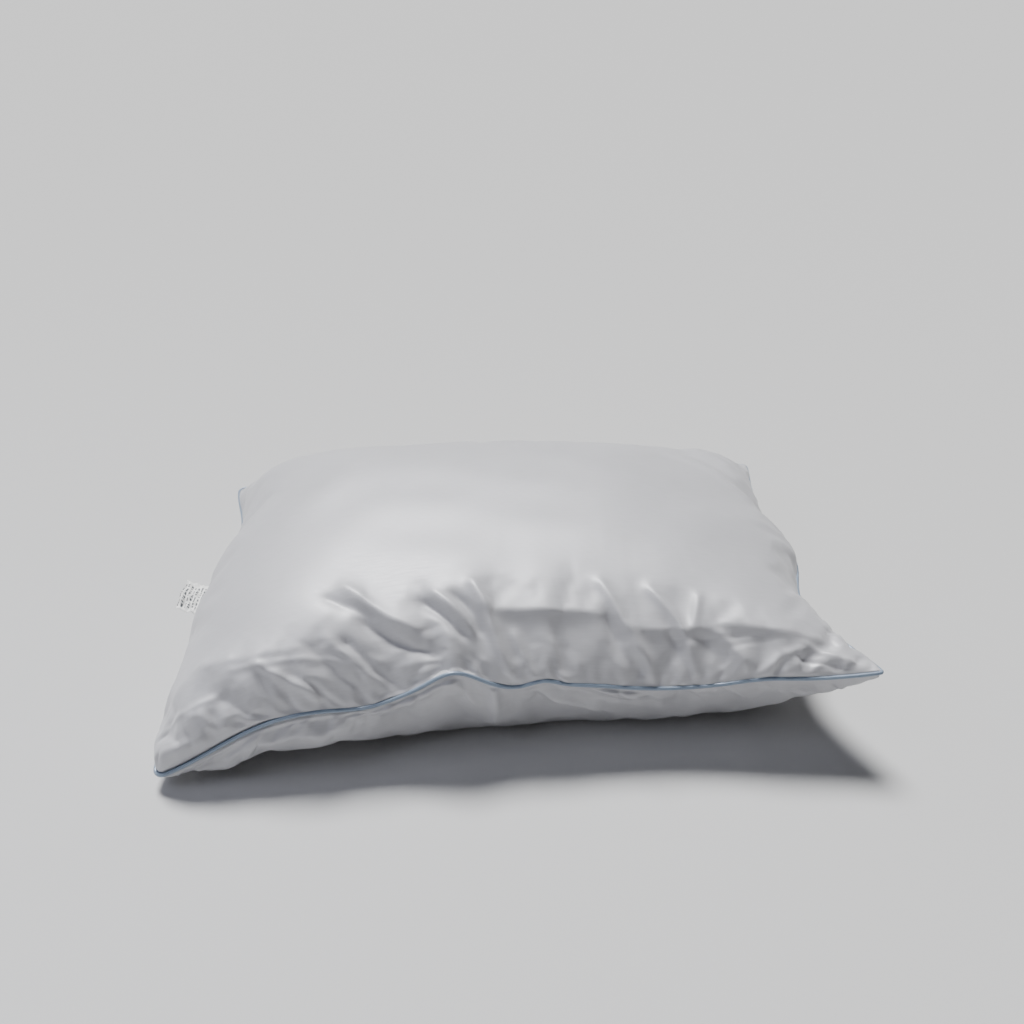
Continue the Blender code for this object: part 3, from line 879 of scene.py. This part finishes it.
def woven_sateen(name, colour, bias, roughness):
    """Sateen, woven with long floats and calendered: a soft silvery sheen with faint streaks along the floats.

    The real threads are about 0.15 mm apart. The weave is drawn at 0.9 mm and the slubs at 2 mm so that they show.
    bias turns the weave, for a strip cut on the cross.
    """
    made, tree, shader = new_finish(name)
    cloth = add_node(tree, "ShaderNodeUVMap", uv_map="cloth")
    turned = add_node(tree, "ShaderNodeMapping", {"Vector": cloth, "Rotation": (0, 0, bias)}, vector_type="POINT")
    stretched = add_node(tree, "ShaderNodeMapping", {"Vector": turned, "Scale": (0.10, 1, 1)})
    slubs = add_node(tree, "ShaderNodeTexNoise", {"Vector": stretched, "Scale": 500, "Detail": 3, "Roughness": 0.6})
    weave = add_node(
        tree,
        "ShaderNodeTexWave",
        {"Vector": turned, "Scale": 1 / 0.0009 / 20, "Distortion": 1.5, "Detail": 1, "Detail Scale": 2},
        bands_direction="DIAGONAL",
    )
    cloudy = add_node(tree, "ShaderNodeTexNoise", {"Vector": cloth, "Scale": 14, "Detail": 2})
    streaks = add_node(tree, "ShaderNodeMapRange", {"Value": slubs, **NOISE_RANGE, "To Max": 1})
    streaked = tinted(tree, streaks, shaded(colour, 0.955), shaded(colour, 1.03))
    patches = add_node(tree, "ShaderNodeMapRange", {"Value": cloudy, **NOISE_RANGE, "To Min": 0.975, "To Max": 1.02})
    varied = add_node(tree, "ShaderNodeVectorMath", {0: streaked, "Scale": patches}, operation="SCALE")
    gloss = add_node(
        tree,
        "ShaderNodeMapRange",
        {"Value": slubs, **NOISE_RANGE, "To Min": roughness - 0.04, "To Max": roughness + 0.05},
    )
    relief = add_node(tree, "ShaderNodeMath", {0: slubs, 1: weave}, operation="ADD")
    bump = add_node(tree, "ShaderNodeBump", {"Height": relief, "Strength": 0.05, "Distance": 0.00025})
    feed(tree, shader, {"Base Color": varied, "Roughness": gloss, "Normal": bump, "IOR": 1.52})
    # The silvery dye and the pressed floats mirror some light in the cloth's own colour
    feed(tree, shader, {"Metallic": 0.16, "Sheen Weight": 0.15, "Sheen Roughness": 0.45})
    return made


def panel_piece(name, grid, up, casing, finish):
    """One cut panel: its face, its fold at the piping and its seam allowance turned inside, with cloth thickness."""
    s, t, points = grid
    points = points.copy()
    _, _, _, places = seam_stations(casing)
    columns, rows = PANEL_CELLS
    index_of = np.arange((columns + 1) * (rows + 1)).reshape(columns + 1, rows + 1)
    border = np.array([index_of[place] for place in places])
    flat = points.reshape(-1, 3)
    flat[border] = seam_line(casing, -NOSE_INSET, up * NOSE_RISE)
    inner_rings = [
        seam_line(casing, -NOSE_INSET, up * ALLOWANCE_RISE),
        seam_line(casing, -(NOSE_INSET + ALLOWANCE) / 2, up * ALLOWANCE_RISE),
        seam_line(casing, -ALLOWANCE, up * ALLOWANCE_RISE),
    ]
    faces = [grid_quads(index_of, up < 0)]
    ring = border
    for step in range(len(inner_rings)):
        after = len(flat) + step * len(border) + np.arange(len(border))
        quads = [ring, after, np.roll(after, -1), np.roll(ring, -1)]
        faces.append(np.stack(quads if up > 0 else quads[::-1], -1))
        ring = after
    made = new_object(name, np.concatenate([flat, *inner_rings]), np.concatenate(faces), finish)
    on_cloth = np.stack([s, t], -1).reshape(-1, 2)
    on_cloth = np.concatenate([on_cloth] + [on_cloth[border]] * len(inner_rings))
    lay_flat(made, on_cloth * (CUT_LENGTH / 2, CUT_WIDTH / 2))
    wall = made.modifiers.new("cloth", "SOLIDIFY")
    wall.thickness = casing.cloth
    wall.offset = -1
    return plain_mesh(made)


class PILLOW_OT_sew_casing(bpy.types.Operator):
    """Cuts, folds and settles the top and bottom panels"""

    bl_idname = "pillow.sew_casing"
    bl_label = "Sew casing"

    def execute(self, context):
        casing = context.scene.pillow_casing
        finish = woven_sateen("silver_sateen", casing.colour, 0.0, 0.50)
        top, under = casing_panels(context.scene.name)
        for name, grid, up in (("top_panel_sateen", top, 1), ("bottom_panel_sateen", under, -1)):
            made = panel_piece(name, grid, up, casing, finish)
            stand_in(made, name.replace("_sateen", ""))
        return {"FINISHED"}


class PILLOW_OT_blow_fill(bpy.types.Operator):
    """Fills the casing with one mass of polyester fibre"""

    bl_idname = "pillow.blow_fill"
    bl_label = "Blow fill"

    def execute(self, context):
        casing = context.scene.pillow_casing
        finish, tree, shader = new_finish("white_polyester_fibre")
        # Crimped hollow fibre, blown: a matt white mass with soft tufts and fine tangled strands
        place = add_node(tree, "ShaderNodeTexCoord").outputs["Object"]
        strands = add_node(tree, "ShaderNodeTexNoise", {"Vector": place, "Scale": 900, "Detail": 4, "Distortion": 2})
        tufts = add_node(tree, "ShaderNodeTexNoise", {"Vector": place, "Scale": 60, "Detail": 3})
        colour = tinted(tree, tufts, linear("#D8D8D6"), linear("#FAFAF8"))
        relief = add_node(tree, "ShaderNodeMath", {0: strands, 1: tufts}, operation="ADD")
        bump = add_node(tree, "ShaderNodeBump", {"Height": relief, "Strength": 0.8, "Distance": 0.001})
        feed(tree, shader, {"Base Color": colour, "Normal": bump, "Roughness": 0.9, "Sheen Weight": 0.4})

        top, under = casing_panels(context.scene.name)
        s_lines = top[0][:, 0] * CUT_LENGTH / 2
        t_lines = top[1][0] * CUT_WIDTH / 2
        first = int(np.argmax(s_lines > -CUT_LENGTH / 2 + FILL_INSET))
        first += first % FILL_STEP
        second = int(np.argmax(t_lines > -CUT_WIDTH / 2 + FILL_INSET))
        second += second % FILL_STEP
        columns = slice(first, PANEL_CELLS[0] - first + 1, FILL_STEP)
        rows = slice(second, PANEL_CELLS[1] - second + 1, FILL_STEP)
        layers = []
        for (_, _, points), up in ((top, 1), (under, -1)):
            inside = points - grid_normals(points, up) * (casing.cloth + FILL_GAP)
            layers.append(inside[columns, rows])
        squeezed = layers[0][..., 2] - layers[1][..., 2] < LEAST_FILL
        layers[0][..., 2] = np.where(squeezed, layers[1][..., 2] + LEAST_FILL, layers[0][..., 2])
        shape = layers[0].shape[:2]
        count = shape[0] * shape[1]
        grid = np.arange(count).reshape(shape)
        faces = [grid_quads(grid, False), grid_quads(grid + count, True)]
        rim = np.concatenate([grid[:-1, 0], grid[-1, :-1], grid[:0:-1, -1], grid[0, :0:-1]])
        faces.append(np.stack([rim, rim + count, np.roll(rim + count, -1), np.roll(rim, -1)], -1))
        points = np.concatenate([layer.reshape(-1, 3) for layer in layers])
        made = new_object("fibre_fill_mass", points, np.concatenate(faces), finish)
        stand_in(made, "fibre_fill")
        return {"FINISHED"}


def geometry_tree(name, sizes):
    """A geometry node tree with named length inputs, as (tree, input sockets, the line that it grows along)."""
    tree = bpy.data.node_groups.new(name, "GeometryNodeTree")
    tree.interface.new_socket("Geometry", in_out="INPUT", socket_type="NodeSocketGeometry")
    tree.interface.new_socket("Geometry", in_out="OUTPUT", socket_type="NodeSocketGeometry")
    for label in sizes:
        tree.interface.new_socket(label, in_out="INPUT", socket_type="NodeSocketFloat")
    inputs = add_node(tree, "NodeGroupInput").outputs
    return tree, inputs, add_node(tree, "GeometryNodeMeshToCurve", {"Mesh": inputs["Geometry"]})


def end_tree(tree, geometry, finish):
    """The tree, ended in realised instances with their material."""
    realised = add_node(tree, "GeometryNodeRealizeInstances", {"Geometry": geometry})
    painted = add_node(tree, "GeometryNodeSetMaterial", {"Geometry": realised, "Material": finish})
    add_node(tree, "NodeGroupOutput", {"Geometry": painted})
    return tree


def grown(name, tree, points, closed, sizes):
    """The plain mesh that a tree grows along this line of points."""
    count = len(points)
    edges = [(index, index + 1) for index in range(count - 1)] + ([(count - 1, 0)] if closed else [])
    made = new_object(name, points, (), None, edges)
    grow = made.modifiers.new("grow", "NODES")
    grow.node_group = tree
    for item in tree.interface.items_tree:
        if item.item_type == "SOCKET" and item.in_out == "INPUT" and item.name in sizes:
            grow[item.identifier] = sizes[item.name]
    return plain_mesh(made)


def twisted_cord(finish):
    """Three strands laid together: a lobed section that turns once in each lay."""
    tree, sizes, path = geometry_tree("twisted_cord", ("Diameter", "Lay"))
    even = add_node(tree, "GeometryNodeResampleCurve", {"Curve": path, "Length": 0.0016}, mode="LENGTH")
    run = add_node(tree, "GeometryNodeSplineParameter").outputs["Length"]
    turns = add_node(tree, "ShaderNodeMath", {0: run, 1: sizes["Lay"]}, operation="DIVIDE")
    angle = add_node(tree, "ShaderNodeMath", {0: turns, 1: 2 * math.pi}, operation="MULTIPLY")
    tilted = add_node(tree, "GeometryNodeSetCurveTilt", {"Curve": even, "Tilt": angle})
    half = add_node(tree, "ShaderNodeMath", {0: sizes["Diameter"], 1: 2.0}, operation="DIVIDE")
    valley = add_node(tree, "ShaderNodeMath", {0: sizes["Diameter"], 1: 0.36}, operation="MULTIPLY")
    lobes = add_node(
        tree,
        "GeometryNodeCurveStar",
        {"Points": 3, "Inner Radius": valley, "Outer Radius": half},
    )
    soft = add_node(tree, "GeometryNodeSubdivideCurve", {"Curve": lobes, "Cuts": 1})
    swept = add_node(tree, "GeometryNodeCurveToMesh", {"Curve": tilted, "Profile Curve": soft})
    return end_tree(tree, swept, finish)


def stitch_row(finish):
    """One lockstitch after another along a seam."""
    tree, sizes, path = geometry_tree("stitch_row", ("Stitch Length", "Thread Diameter"))
    spots = add_node(
        tree, "GeometryNodeCurveToPoints", {"Curve": path, "Length": sizes["Stitch Length"]}, mode="LENGTH"
    )
    ball = add_node(tree, "GeometryNodeMeshUVSphere", {"Segments": 7, "Rings": 5, "Radius": 0.5})
    reach = add_node(tree, "ShaderNodeMath", {0: sizes["Stitch Length"], 1: 0.94}, operation="MULTIPLY")
    shape = add_node(
        tree,
        "ShaderNodeCombineXYZ",
        {"X": sizes["Thread Diameter"], "Y": sizes["Thread Diameter"], "Z": reach},
    )
    sewn = add_node(
        tree,
        "GeometryNodeInstanceOnPoints",
        {
            "Points": spots.outputs["Points"],
            "Instance": ball.outputs["Mesh"],
            "Rotation": spots.outputs["Rotation"],
            "Scale": shape,
        },
    )
    return end_tree(tree, sewn, finish)


def overlock_loops(finish):
    """Looper threads that wrap the cut edges, one slanted loop after another."""
    tree, sizes, path = geometry_tree("overlock_loops", ("Pitch", "Thread Diameter", "Loop Radius"))
    spots = add_node(tree, "GeometryNodeCurveToPoints", {"Curve": path, "Length": sizes["Pitch"]}, mode="LENGTH")
    ring = add_node(
        tree, "GeometryNodeCurvePrimitiveCircle", {"Resolution": 10, "Radius": sizes["Loop Radius"]}, mode="RADIUS"
    )
    half = add_node(tree, "ShaderNodeMath", {0: sizes["Thread Diameter"], 1: 2.0}, operation="DIVIDE")
    section = add_node(tree, "GeometryNodeCurvePrimitiveCircle", {"Resolution": 4, "Radius": half}, mode="RADIUS")
    loop = add_node(tree, "GeometryNodeCurveToMesh", {"Curve": ring, "Profile Curve": section})
    slanted = add_node(tree, "GeometryNodeTransform", {"Geometry": loop, "Rotation": (math.radians(35), 0, 0)})
    sewn = add_node(
        tree,
        "GeometryNodeInstanceOnPoints",
        {
            "Points": spots.outputs["Points"],
            "Instance": slanted,
            "Rotation": spots.outputs["Rotation"],
        },
    )
    return end_tree(tree, sewn, finish)


class PILLOW_OT_sew_piping(bpy.types.Operator):
    """Sweeps the bias strip and its filler cord along the seam"""

    bl_idname = "pillow.sew_piping"
    bl_label = "Sew piping"

    def execute(self, context):
        casing, piping = context.scene.pillow_casing, context.scene.pillow_piping
        finish = woven_sateen("slate_blue_bias_sateen", piping.colour, math.radians(45), 0.32)
        points, out, up, _ = seam_stations(casing)
        inner, outer, flange = piping.cord / 2 + CORD_ROOM, PIPING_RADIUS, FLANGE_GAP
        turn_out = math.pi - math.asin((flange + piping.strip) / outer)
        turn_in = math.pi - math.asin(flange / inner)
        section = [(-ALLOWANCE, flange + piping.strip)]
        section += [(outer * math.cos(turn), outer * math.sin(turn)) for turn in np.linspace(turn_out, -turn_out, 21)]
        section += [(-ALLOWANCE, -flange - piping.strip), (-ALLOWANCE, -flange)]
        section += [(inner * math.cos(turn), inner * math.sin(turn)) for turn in np.linspace(-turn_in, turn_in, 13)]
        section += [(-ALLOWANCE, flange)]
        rails = np.stack([points + out * place[0] + up * place[1] for place in section], 1)
        index = np.arange(len(points) * len(section)).reshape(len(points), len(section))
        ahead, beside = np.roll(index, -1, 0), np.roll(index, -1, 1)
        faces = np.stack([index, beside, np.roll(ahead, -1, 1), ahead], -1).reshape(-1, 4)
        made = new_object("piping_strip", rails.reshape(-1, 3), faces, finish)
        places = np.meshgrid(run_along(points), run_along(np.array(section)), indexing="ij")
        lay_flat(made, np.stack(places, -1).reshape(-1, 2))
        made.data.set_sharp_from_angle(angle=math.radians(50))
        stand_in(made, "piping_cover")

        cotton, tree, shader = new_finish("white_cotton_cord")
        # Soft-laid cotton, unbleached: matt, with fine fibres along the strands
        place = add_node(tree, "ShaderNodeTexCoord").outputs["Object"]
        fibres = add_node(tree, "ShaderNodeTexNoise", {"Vector": place, "Scale": 2500, "Detail": 2})
        colour = tinted(tree, fibres, shaded(piping.cord_colour, 0.85), tuple(piping.cord_colour))
        bump = add_node(tree, "ShaderNodeBump", {"Height": fibres, "Strength": 0.5, "Distance": 0.0002})
        feed(tree, shader, {"Base Color": colour, "Normal": bump, "Roughness": 0.85})
        made = grown(
            "piping_filler_cord", twisted_cord(cotton), points, True, {"Diameter": piping.cord, "Lay": piping.lay}
        )
        stand_in(made, "piping_cord")
        return {"FINISHED"}


class PILLOW_OT_sew_threads(bpy.types.Operator):
    """Sews the seam, closes the opening and overlocks the cut edges"""

    bl_idname = "pillow.sew_threads"
    bl_label = "Sew threads"

    def execute(self, context):
        casing, threads = context.scene.pillow_casing, context.scene.pillow_threads
        finish, tree, shader = new_finish("grey_polyester_thread")
        # Spun polyester, mercerised: a low sheen and fine plies
        place = add_node(tree, "ShaderNodeTexCoord").outputs["Object"]
        plies = add_node(tree, "ShaderNodeTexWave", {"Vector": place, "Scale": 300, "Distortion": 2})
        colour = tinted(tree, plies, shaded(threads.colour, 0.8), tuple(threads.colour))
        feed(tree, shader, {"Base Color": colour, "Roughness": 0.55})
        _, _, _, places = seam_stations(casing)
        columns, t_lines = PANEL_CELLS[0], PANEL_LINES[1]
        closing = [
            index
            for index, (i, j) in enumerate(places)
            if i == columns and CLOSING_SEAM[0] <= (t_lines[j] + 1) / 2 <= CLOSING_SEAM[1]
        ]
        around = list(range(closing[-1] + 1, len(places))) + list(range(closing[0]))
        row = stitch_row(finish)
        for name, node, level, chosen in (
            ("seam_needle_stitches", "seam_needle_thread", STITCH_RISE, around),
            ("seam_bobbin_stitches", "seam_bobbin_thread", -STITCH_RISE, around),
            ("closing_seam_stitches", "closing_seam_thread", STITCH_RISE, closing),
        ):
            line = seam_line(casing, -STITCH_INSET, level)[chosen]
            made = grown(name, row, line, False, {"Stitch Length": threads.stitch, "Thread Diameter": threads.thread})
            stand_in(made, node)
        made = grown(
            "overlock_loops",
            overlock_loops(finish),
            seam_line(casing, -ALLOWANCE - OVERLOCK_OUTSET, 0),
            True,
            {"Pitch": threads.chain, "Thread Diameter": threads.thread, "Loop Radius": OVERLOCK_RADIUS},
        )
        stand_in(made, "overlock_thread")
        return {"FINISHED"}


def label_tape(labels):
    """Slit-edge satin ribbon, woven white polyester: thin and crisp, with rows of plain grey bars for its print."""
    made, tree, shader = new_finish("white_label_tape")
    place = add_node(tree, "ShaderNodeUVMap", uv_map="cloth")
    parts = add_node(tree, "ShaderNodeSeparateXYZ", {"Vector": place})
    rows = add_node(tree, "ShaderNodeMath", {0: parts.outputs["Y"], 1: 1 / PRINT_ROW}, operation="MULTIPLY")
    within = add_node(tree, "ShaderNodeMath", {0: rows}, operation="FRACT")
    on_row = add_node(tree, "ShaderNodeMath", {0: within, 1: 0.48}, operation="LESS_THAN")
    number = add_node(tree, "ShaderNodeMath", {0: rows}, operation="FLOOR")
    shifted = add_node(tree, "ShaderNodeMath", {0: number, 1: 7.3}, operation="MULTIPLY")
    along = add_node(tree, "ShaderNodeMath", {0: parts.outputs["X"], 1: 420}, operation="MULTIPLY")
    moved = add_node(tree, "ShaderNodeMath", {0: along, 1: shifted}, operation="ADD")
    sway = add_node(tree, "ShaderNodeTexNoise", {"W": moved, "Scale": 1.0, "Detail": 0}, noise_dimensions="1D")
    bars = add_node(tree, "ShaderNodeMath", {0: sway, 1: 0.44}, operation="GREATER_THAN")
    marked = add_node(tree, "ShaderNodeMath", {0: on_row, 1: bars}, operation="MULTIPLY")
    edge_x = add_node(tree, "ShaderNodeMath", {0: parts.outputs["X"]}, operation="ABSOLUTE")
    kept = add_node(tree, "ShaderNodeMath", {0: edge_x, 1: PRINT_REACH}, operation="LESS_THAN")
    printed = add_node(tree, "ShaderNodeMath", {0: marked, 1: kept}, operation="MULTIPLY")
    colour = tinted(tree, printed, tuple(labels.colour), tuple(labels.mark_colour))
    ribs = add_node(tree, "ShaderNodeTexWave", {"Vector": place, "Scale": 1 / 0.0005 / 20}, bands_direction="Y")
    bump = add_node(tree, "ShaderNodeBump", {"Height": ribs, "Strength": 0.3, "Distance": 0.0001})
    feed(tree, shader, {"Base Color": colour, "Normal": bump, "Roughness": 0.5})
    return made


class PILLOW_OT_sew_labels(bpy.types.Operator):
    """Sews the two label leaves into the left side's seam"""

    bl_idname = "pillow.sew_labels"
    bl_label = "Sew labels"

    def execute(self, context):
        casing, labels = context.scene.pillow_casing, context.scene.pillow_labels
        finish = label_tape(labels)
        for name, node, width, reach, lift, parting in (
            ("care_label_leaf", "care_label", labels.care_width, labels.care_reach, LEAF_OFFSET, 0),
            (
                "content_label_leaf",
                "content_label",
                labels.content_width,
                labels.content_reach,
                -LEAF_OFFSET,
                -LEAF_PARTING,
            ),
        ):
            across = np.linspace(-0.5, 0.5, LABEL_CELLS[0] + 1) * width
            v = LABEL_PLACE + 2 * across / casing.width
            root = seam_surface(np.full_like(v, -1.0), v, casing)
            back = unit(seam_surface(np.full_like(v, -1.0), v + 0.01, casing) - root)
            out = unit(np.stack([-back[:, 1], back[:, 0], np.zeros(len(v))], -1))
            run = np.linspace(0, reach + LABEL_IN_SEAM, LABEL_CELLS[1] + 1)
            rise = np.array([0.0, 0.0, 1.0])
            chance = np.random.default_rng(CRINKLE_SEED)
            crinkle = np.zeros((len(across), len(run)))
            for _ in range(CRINKLE_COUNT):
                turn = chance.uniform(0.2 * np.pi, 0.8 * np.pi)
                length = chance.uniform(0.007, 0.013)
                phase = chance.uniform(0, 2 * np.pi)
                crinkle += np.sin(
                    2 * np.pi * (across[:, None] * np.cos(turn) + run[None] * np.sin(turn)) / length + phase
                )
            crinkle *= CRINKLE_HEIGHT
            loose = np.clip(run / 0.010, 0, 1) ** 1.5
            outward = np.minimum(run, LABEL_OVER_PIPING) - NOSE_INSET
            outward += LABEL_DRAWN_IN * np.maximum(run - LABEL_OVER_PIPING, 0)
            share = run / run[-1]
            # Over the piping, then up with a curl at the free end
            height = LABEL_LEVEL + LABEL_RISE * np.sin(np.clip(run / 0.005, 0, 1) * np.pi / 2)
            height += LABEL_CURL * share**2.2
            wave = LABEL_WAVE * share[None] * np.cos(3 * np.pi * across[:, None] / CARE_LABEL_SIZE[0])
            level = height[None] + lift + parting * share[None] + wave + crinkle * loose[None]
            points = root[:, None] + out[:, None] * outward[None, :, None] + rise * level[..., None]
            shape = level.shape
            index = np.arange(shape[0] * shape[1]).reshape(shape)
            corners = [index[:-1, :-1], index[:-1, 1:], index[1:, 1:], index[1:, :-1]]
            made = new_object(name, points.reshape(-1, 3), np.stack(corners, -1).reshape(-1, 4), finish)
            lay_flat(made, np.stack(np.meshgrid(across, run, indexing="ij"), -1).reshape(-1, 2))
            wall = made.modifiers.new("tape", "SOLIDIFY")
            wall.thickness = labels.thickness
            wall.offset = 0
            plain_mesh(made)
            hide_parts(node)
            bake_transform(made)
        return {"FINISHED"}


def aimed(name, data, place, target):
    made = bpy.data.objects.new(name, data)
    bpy.context.scene.collection.objects.link(made)
    made.location = place
    made.rotation_euler = (Vector(target) - Vector(place)).to_track_quat("-Z", "Y").to_euler()
    return made


class PILLOW_OT_set_stage(bpy.types.Operator):
    """Lays the floor and sets the lights and the camera"""

    bl_idname = "pillow.set_stage"
    bl_label = "Set stage"

    def execute(self, context):
        stage = context.scene.pillow_stage
        finish, tree, shader = new_finish("matt_floor_paint")
        # Matt emulsion: even and pale, with a faint roller texture
        place = add_node(tree, "ShaderNodeTexCoord").outputs["Object"]
        mottle = add_node(tree, "ShaderNodeTexNoise", {"Vector": place, "Scale": 40, "Detail": 3})
        colour = tinted(tree, mottle, shaded(stage.floor_colour, 0.985), tuple(stage.floor_colour))
        feed(tree, shader, {"Base Color": colour, "Roughness": 0.9})
        corners = [(x * FLOOR_REACH, y * FLOOR_REACH, -FLOOR_DROP) for x, y in ((-1, -1), (1, -1), (1, 1), (-1, 1))]
        floor = new_object("floor", corners, [(0, 1, 2, 3)], finish)

        world = bpy.data.worlds.new("pale_surround")
        world.use_nodes = True
        # Dim overhead, and pale in a band at the horizon so that no view shows a dark wall
        sky = world.node_tree
        heading = add_node(sky, "ShaderNodeSeparateXYZ", {0: add_node(sky, "ShaderNodeTexCoord").outputs["Generated"]})
        strength = add_node(
            sky,
            "ShaderNodeMapRange",
            {
                "Value": heading.outputs["Z"],
                "From Min": 0.0,
                "From Max": HORIZON_BAND,
                "To Min": stage.horizon,
                "To Max": stage.surround,
            },
            interpolation_type="SMOOTHSTEP",
        )
        feed(sky, sky.nodes["Background"], {"Color": (1, 1, 1, 1), "Strength": strength})
        context.scene.world = world

        key = bpy.data.lights.new("overhead_light", "SUN")
        key.energy = stage.key_power
        key.angle = SUN_ANGLE
        aimed("overhead_light", key, SUN_PLACE, (0, 0, 0))
        side = bpy.data.lights.new("left_softbox", "AREA")
        side.size = SOFTBOX_SIZE
        side.energy = stage.side_power
        side.color = SOFTBOX_COLOUR
        aimed("left_softbox", side, SOFTBOX_PLACE, SOFTBOX_TARGET)

        turn, rise = stage.azimuth, stage.elevation
        right = Vector((math.cos(turn), math.sin(turn), 0))
        level = Vector((-math.sin(turn), math.cos(turn), 0))
        forward = level * math.cos(rise) - Vector((0, 0, math.sin(rise)))
        upward = level * math.sin(rise) + Vector((0, 0, math.cos(rise)))
        lens = bpy.data.cameras.new("camera")
        lens.sensor_width = 36
        lens.lens = LENS
        camera = bpy.data.objects.new("camera", lens)
        context.scene.collection.objects.link(camera)
        where = -(right * ORIGIN_SEEN.x + upward * ORIGIN_SEEN.y + forward * ORIGIN_SEEN.z)
        camera.matrix_world = Matrix(
            [[right[axis], upward[axis], -forward[axis], where[axis]] for axis in range(3)] + [[0, 0, 0, 1]]
        )
        context.scene.camera = camera
        return {"FINISHED"}


class PILLOW_PT_parts(bpy.types.Panel):
    """Sizes, colours and steps of the pillow"""

    bl_idname = "PILLOW_PT_parts"
    bl_label = "Bed pillow"
    bl_space_type = "VIEW_3D"
    bl_region_type = "UI"
    bl_category = "Pillow"

    def draw(self, context):
        for group, operator in STEPS:
            box = self.layout.box()
            if group:
                settings = getattr(context.scene, group)
                for name in settings.__annotations__:
                    box.prop(settings, name)
            box.operator(operator.bl_idname)


GROUPS = {
    "pillow_casing": PillowCasing,
    "pillow_piping": PillowPiping,
    "pillow_threads": PillowThreads,
    "pillow_labels": PillowLabels,
    "pillow_stage": PillowStage,
}
STEPS = (
    ("pillow_casing", PILLOW_OT_sew_casing),
    (None, PILLOW_OT_blow_fill),
    ("pillow_piping", PILLOW_OT_sew_piping),
    ("pillow_threads", PILLOW_OT_sew_threads),
    ("pillow_labels", PILLOW_OT_sew_labels),
    ("pillow_stage", PILLOW_OT_set_stage),
)
CLASSES = (*GROUPS.values(), *[operator for _, operator in STEPS], PILLOW_PT_parts)


def register():
    for cls in CLASSES:
        bpy.utils.register_class(cls)
    for name, cls in GROUPS.items():
        setattr(bpy.types.Scene, name, bpy.props.PointerProperty(type=cls))


def unregister():
    for name in GROUPS:
        delattr(bpy.types.Scene, name)
    for cls in reversed(CLASSES):
        bpy.utils.unregister_class(cls)


def main():
    register()
    bpy.ops.pillow.sew_casing()
    bpy.ops.pillow.blow_fill()
    bpy.ops.pillow.sew_piping()
    bpy.ops.pillow.sew_threads()
    bpy.ops.pillow.sew_labels()
    bpy.ops.pillow.set_stage()


if __name__ == "__main__":
    main()
